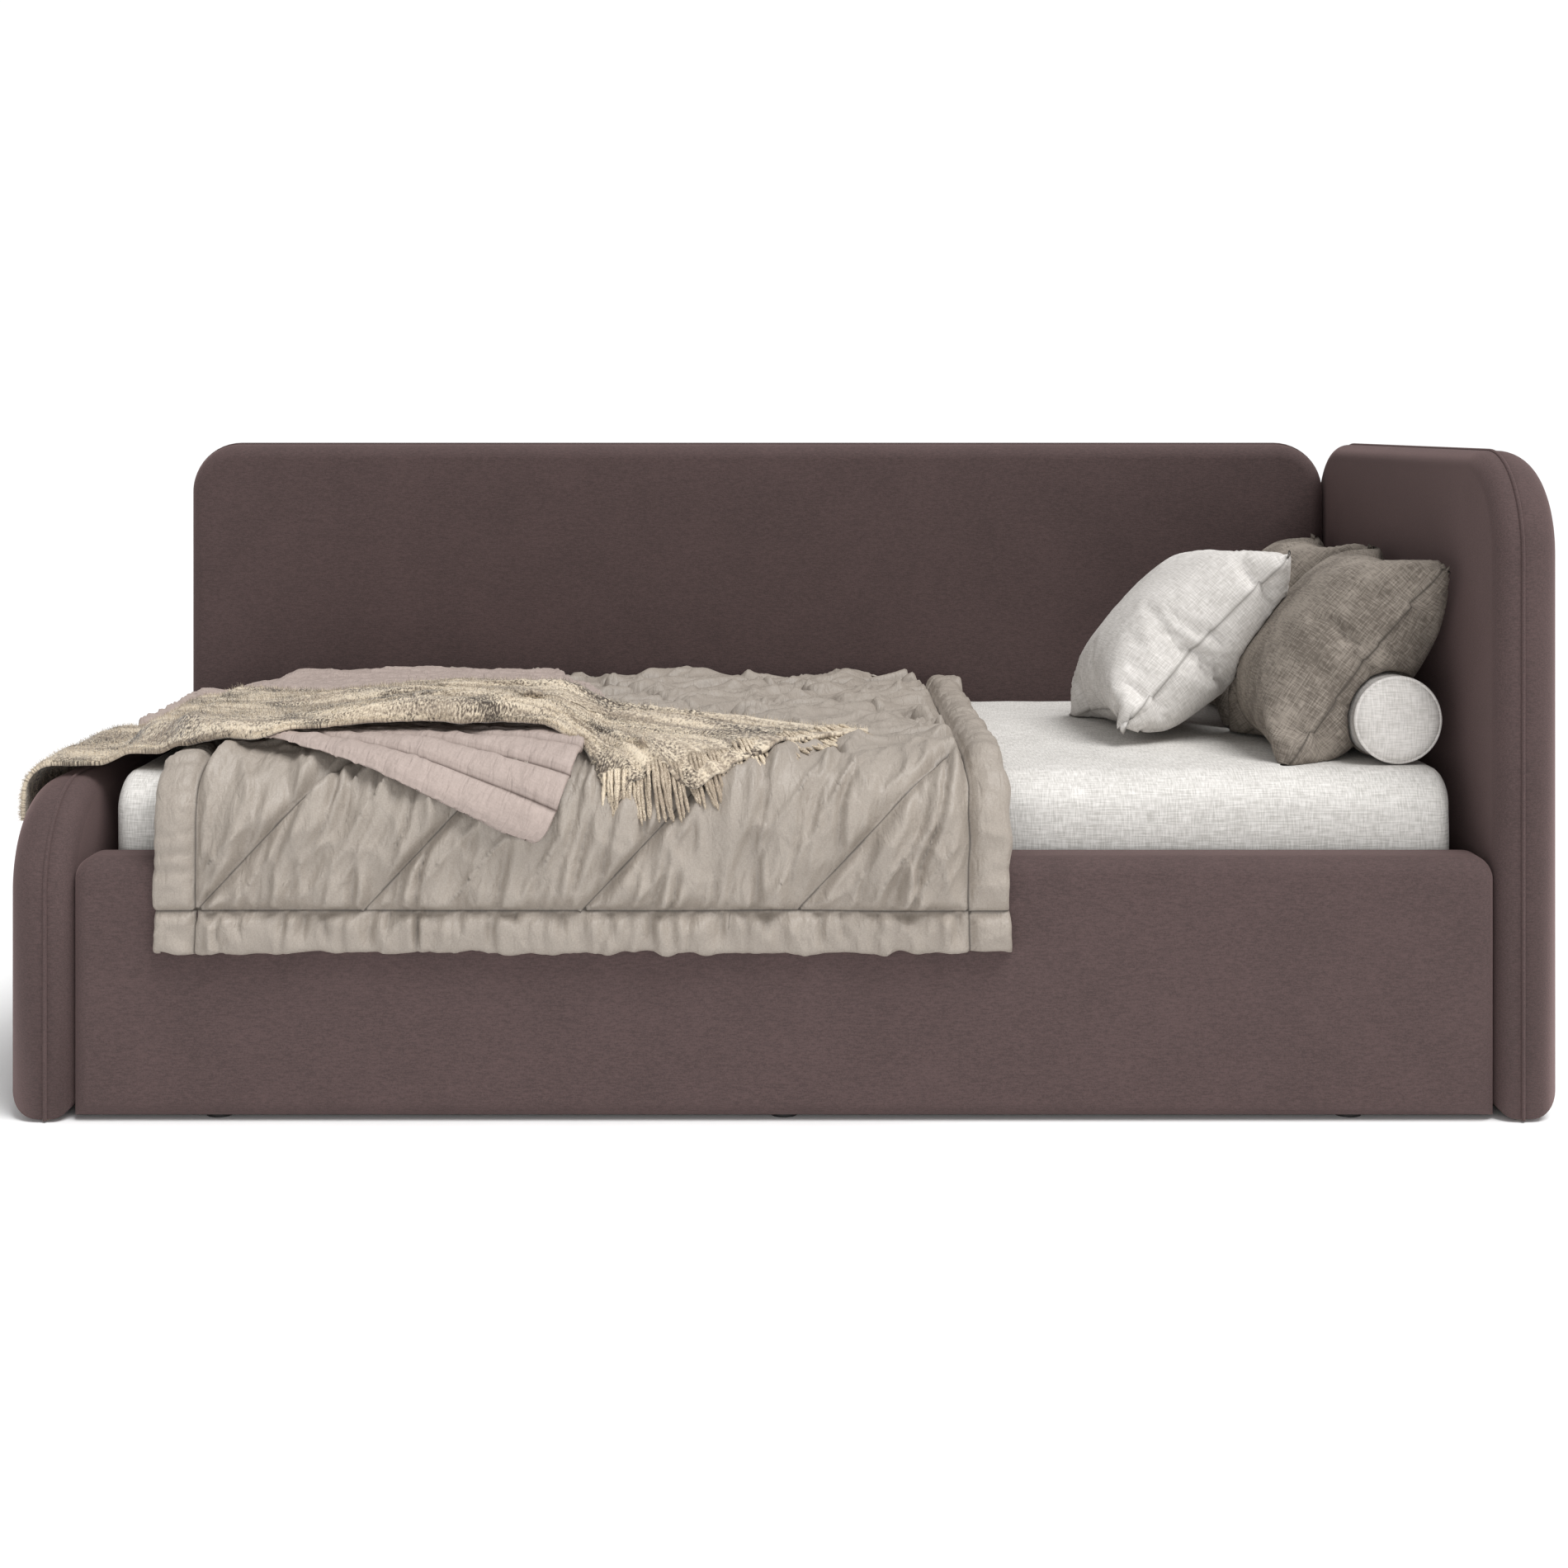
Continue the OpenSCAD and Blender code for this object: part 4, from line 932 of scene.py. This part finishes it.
def blown_up(side, thick, pressure, seed):
    """A filled cushion about its middle, its faces up and down, and its flat cloth places."""
    bm = bmesh.new()
    bmesh.ops.create_grid(bm, x_segments=54, y_segments=54, size=side / 2)
    flat = bm.loops.layers.uv.new("flat")
    for face in bm.faces:
        for loop in face.loops:
            loop[flat].uv = (loop.vert.co.x, loop.vert.co.y)
    upper = list(bm.verts)
    lower = [g for g in bmesh.ops.duplicate(bm, geom=bm.verts[:] + bm.edges[:] + bm.faces[:])["geom"]]
    lower_verts = [g for g in lower if isinstance(g, bmesh.types.BMVert)]
    bmesh.ops.reverse_faces(bm, faces=[g for g in lower if isinstance(g, bmesh.types.BMFace)])
    for group, z in ((upper, 0.004), (lower_verts, -0.004)):
        for v in group:
            if not v.is_boundary:
                v.co.z += z
    bmesh.ops.remove_doubles(bm, verts=bm.verts, dist=0.0005)
    mesh = mesh_of(bm, "cushion")
    start = points_of(mesh)
    rim = np.abs(np.abs(start[:, :2]).max(1) - side / 2) < 1e-4
    wobble = 0.002 * ripple(start[:, 0], start[:, 1], 0.03, 0.03, seed)
    start[:, 2] += np.where(rim, 0, wobble)
    set_points(mesh, start)
    work = bpy.data.objects.new("filling", mesh)
    scene.collection.objects.link(work)
    cloth = work.modifiers.new("cloth", "CLOTH")
    rules = cloth.settings
    rules.quality = 6
    rules.mass = 0.02
    rules.tension_stiffness = rules.compression_stiffness = 14
    rules.shear_stiffness = 4
    rules.bending_stiffness = 0.02
    rules.tension_damping = rules.compression_damping = 6
    rules.use_pressure = True
    rules.uniform_pressure_force = pressure
    rules.effector_weights.gravity = 0
    cloth.point_cache.frame_start, cloth.point_cache.frame_end = 1, 30
    for step in range(1, 31):
        scene.frame_set(step)
    shape = work.evaluated_get(bpy.context.evaluated_depsgraph_get())
    done = points_of(shape.data)
    scene.frame_set(1)
    bpy.data.objects.remove(work)
    done[:, 2] *= thick / max(float(np.ptp(done[:, 2])), 1e-6)
    set_points(mesh, done)
    # the rim's seam marks tell the finish where to paint the thread line and its painted shade
    mark(mesh, "seam", rim)
    print("cushion", [round(float(c), 3) for c in np.ptp(done, axis=0)])
    return mesh


def lean_on(points, middle, lean, roll):
    """Leans a flat-lying cushion back from the foot end, turned a little in its own plane."""
    turn = Matrix.Rotation(-math.radians(lean), 3, "Y") @ Matrix.Rotation(math.radians(roll), 3, "Z")
    return points @ np.array(turn).T + np.array(middle)


def keep_clear(points, bolster_x, bolster_z, bolster_r, wall_x):
    """Presses a cushion flat where it meets the mattress, the head panel and the bolster."""
    points = points.copy()
    dx, dz = points[:, 0] - bolster_x, points[:, 2] - bolster_z
    far = np.maximum(np.hypot(dx, dz), 1e-6)
    push = np.maximum(bolster_r + 0.002 - far, 0)
    points[:, 0] += dx / far * push
    points[:, 2] += dz / far * push
    points[:, 2] = np.maximum(points[:, 2], mattress_top + 0.001)
    points[:, 0] = np.minimum(points[:, 0], wall_x - 0.002)
    return points


bolster_low, bolster_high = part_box("bolster")
bolster_r = (bolster_high.z - bolster_low.z) / 2
bolster_x, bolster_z = (bolster_low.x + bolster_high.x) / 2, bolster_low.z + bolster_r
wall_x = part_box("headboard_inner_pad")[0].x
side, brown_thick, white_thick = 0.45, 0.215, 0.21
brown_lean, white_lean, white_roll = 52, 45, 6
brown_meshes = []
for name, node, y, seed in (
    ("cushion_brown_front_cover", "cushion_brown_front", -0.195, 71),
    ("cushion_brown_back_cover", "cushion_brown_back", 0.214, 72),
):
    mesh = blown_up(side, brown_thick, 9, seed)
    placed = lean_on(points_of(mesh), (wall_x - 0.150, y, mattress_top + 0.147), brown_lean, 0)
    set_points(mesh, keep_clear(placed, bolster_x, bolster_z, bolster_r, wall_x))
    made = piece(name, mesh, linen_brown, "lift_base", [node])
    brown_meshes.append(made)

mesh = blown_up(side, white_thick, 10, 73)
placed = lean_on(points_of(mesh), (wall_x - 0.367, 0.0, mattress_top + 0.153), white_lean, white_roll)
placed[:, 2] = np.maximum(placed[:, 2], mattress_top + 0.001)
for neighbour in brown_meshes:
    tree = BVHTree.FromObject(neighbour, bpy.context.evaluated_depsgraph_get())
    for i, point in enumerate(placed):
        near, normal, _, gap = tree.find_nearest(Vector(point))
        if gap < 0.08 and (Vector(point) - near).dot(normal) < 0.001:
            placed[i] = near + normal * 0.001
set_points(mesh, placed)
white_cushion = piece(
    "cushion_white_cover", mesh, linen_cushion, "lift_base", ["cushion_white"]
)

# %% [markdown]
# ## Bolster
# A round roll with piping round each end disc, lying along the head panel.
# Half its section is drawn once and spun about the roll's own axis.
# The ends are crowned by the filling, and the cover creases softly along its length.

# %% Bolster
bm = bmesh.new()
half_l = (bolster_high.y - bolster_low.y) / 2
r = bolster_r - 0.001
section = [(0.0, half_l)]
for k in range(1, 9):
    section.append((r * 0.93 * k / 8, half_l - 0.004 - 0.010 * (k / 8) ** 4))
section.append((r * 0.945, half_l - 0.018))
for k in range(9):
    turn = math.radians(150 - 240 * k / 8)
    section.append((r - 0.0035 + 0.0035 * math.cos(turn), half_l - 0.018 + 0.0035 * math.sin(turn)))
for k in range(1, 15):
    swell = 0.0025 * math.sin(math.pi * min(k / 6, 0.5))
    section.append((r - 0.003 + swell, (half_l - 0.024) * (1 - k / 14)))
mirrored = [(q_r, -q_y) for q_r, q_y in reversed(section[:-1])]
verts = [bm.verts.new((q_r, q_y, 0)) for q_r, q_y in section + mirrored]
edges = [bm.edges.new(pair) for pair in zip(verts, verts[1:])]
bmesh.ops.spin(
    bm, geom=verts + edges, cent=(0, 0, 0), axis=(0, 1, 0), dvec=(0, 0, 0),
    angle=2 * math.pi, steps=72, use_merge=True,
)
bmesh.ops.remove_doubles(bm, verts=bm.verts, dist=0.0003)
flat = bm.loops.layers.uv.new("flat")
for face in bm.faces:
    for loop in face.loops:
        c = loop.vert.co
        loop[flat].uv = (c.x, c.z) if abs(c.y) > half_l - 0.02 else (math.atan2(c.x, c.z) * r, c.y)
mesh = mesh_of(bm, "bolster_cover")
round_points = points_of(mesh)
turn = np.arctan2(round_points[:, 0], round_points[:, 2])
on_side = np.abs(round_points[:, 1]) < half_l - 0.022
soft = 0.0018 * ripple(turn * r, round_points[:, 1], 0.03, 0.2, 81) * on_side
round_points[:, [0, 2]] *= (1 + soft / r)[:, None]
middle = (bolster_x, (bolster_low.y + bolster_high.y) / 2, bolster_z)
round_points = round_points + np.array(middle)
round_points[:, 2] = np.maximum(round_points[:, 2], mattress_top + 0.001)
set_points(mesh, round_points)
mark(mesh, "seam", np.zeros(len(mesh.vertices)))
bolster = piece("bolster_cover", mesh, linen_cushion, "lift_base", ["bolster"])
print("bolster", round(2 * bolster_r, 3), "across")

# %% [markdown]
# ## Room, light and camera
# A pale floor and a white surround give soft light from everywhere.
# One broad light from high up, a little from the right and the front, lights the top of the bed and
# models the folds. A wide low lamp in front lifts the rail more than the back panel behind it.
# The camera stands level in front, with its view shifted down onto the bed.

# %% Floor, lights, camera
bm = bmesh.new()
bmesh.ops.create_grid(bm, x_segments=1, y_segments=1, size=14)
floor = bpy.data.objects.new("floor", mesh_of(bm, "floor", outward=False))
scene.collection.objects.link(floor)
pale = bpy.data.materials.new("pale floor")
pale.use_nodes = True
pale.node_tree.nodes["Principled BSDF"].inputs["Base Color"].default_value = linear("#f6f6f6")
pale.node_tree.nodes["Principled BSDF"].inputs["Roughness"].default_value = 0.9
floor.data.materials.append(pale)

world = bpy.data.worlds.new("surround")
world.use_nodes = True
sky = world.node_tree.nodes["Background"]
sky.inputs["Color"].default_value = linear("#ffffff")
seen = add(world.node_tree, "ShaderNodeLightPath")
# the surround lights the bed softly but is seen as plain white
level = add(world.node_tree, "ShaderNodeMapRange", {3: 0.5, 4: 1.05}, {0: seen.outputs["Is Camera Ray"]})
world.node_tree.links.new(level.outputs[0], sky.inputs["Strength"])
scene.world = world

sun_data = bpy.data.lights.new("key", "SUN")
sun_data.energy = 2.8
sun_data.angle = math.radians(35)
sun = bpy.data.objects.new("key", sun_data)
sun.rotation_euler = Vector((-0.6, 0.5, -1.45)).to_track_quat("-Z", "Y").to_euler()
scene.collection.objects.link(sun)

fill_data = bpy.data.lights.new("fill", "AREA")
fill_data.shape, fill_data.size, fill_data.size_y, fill_data.energy = "RECTANGLE", 3.2, 0.6, 15
fill = bpy.data.objects.new("fill", fill_data)
fill.location = (0.1, -2.6, 0.6)
fill.rotation_euler = (Vector((0.1, 0, 0.45)) - fill.location).to_track_quat("-Z", "Y").to_euler()
scene.collection.objects.link(fill)

camera_data = bpy.data.cameras.new("camera")
camera_data.sensor_width = 36
camera_data.lens = 49.79
camera_data.shift_y = -0.232
camera = bpy.data.objects.new("camera", camera_data)
camera.location = (0, -3.67, 1.014)
camera.rotation_euler = (math.radians(90), 0, 0)
scene.collection.objects.link(camera)
scene.camera = camera
scene.view_settings.view_transform = "Standard"
print("camera at", tuple(round(c, 3) for c in camera.location))
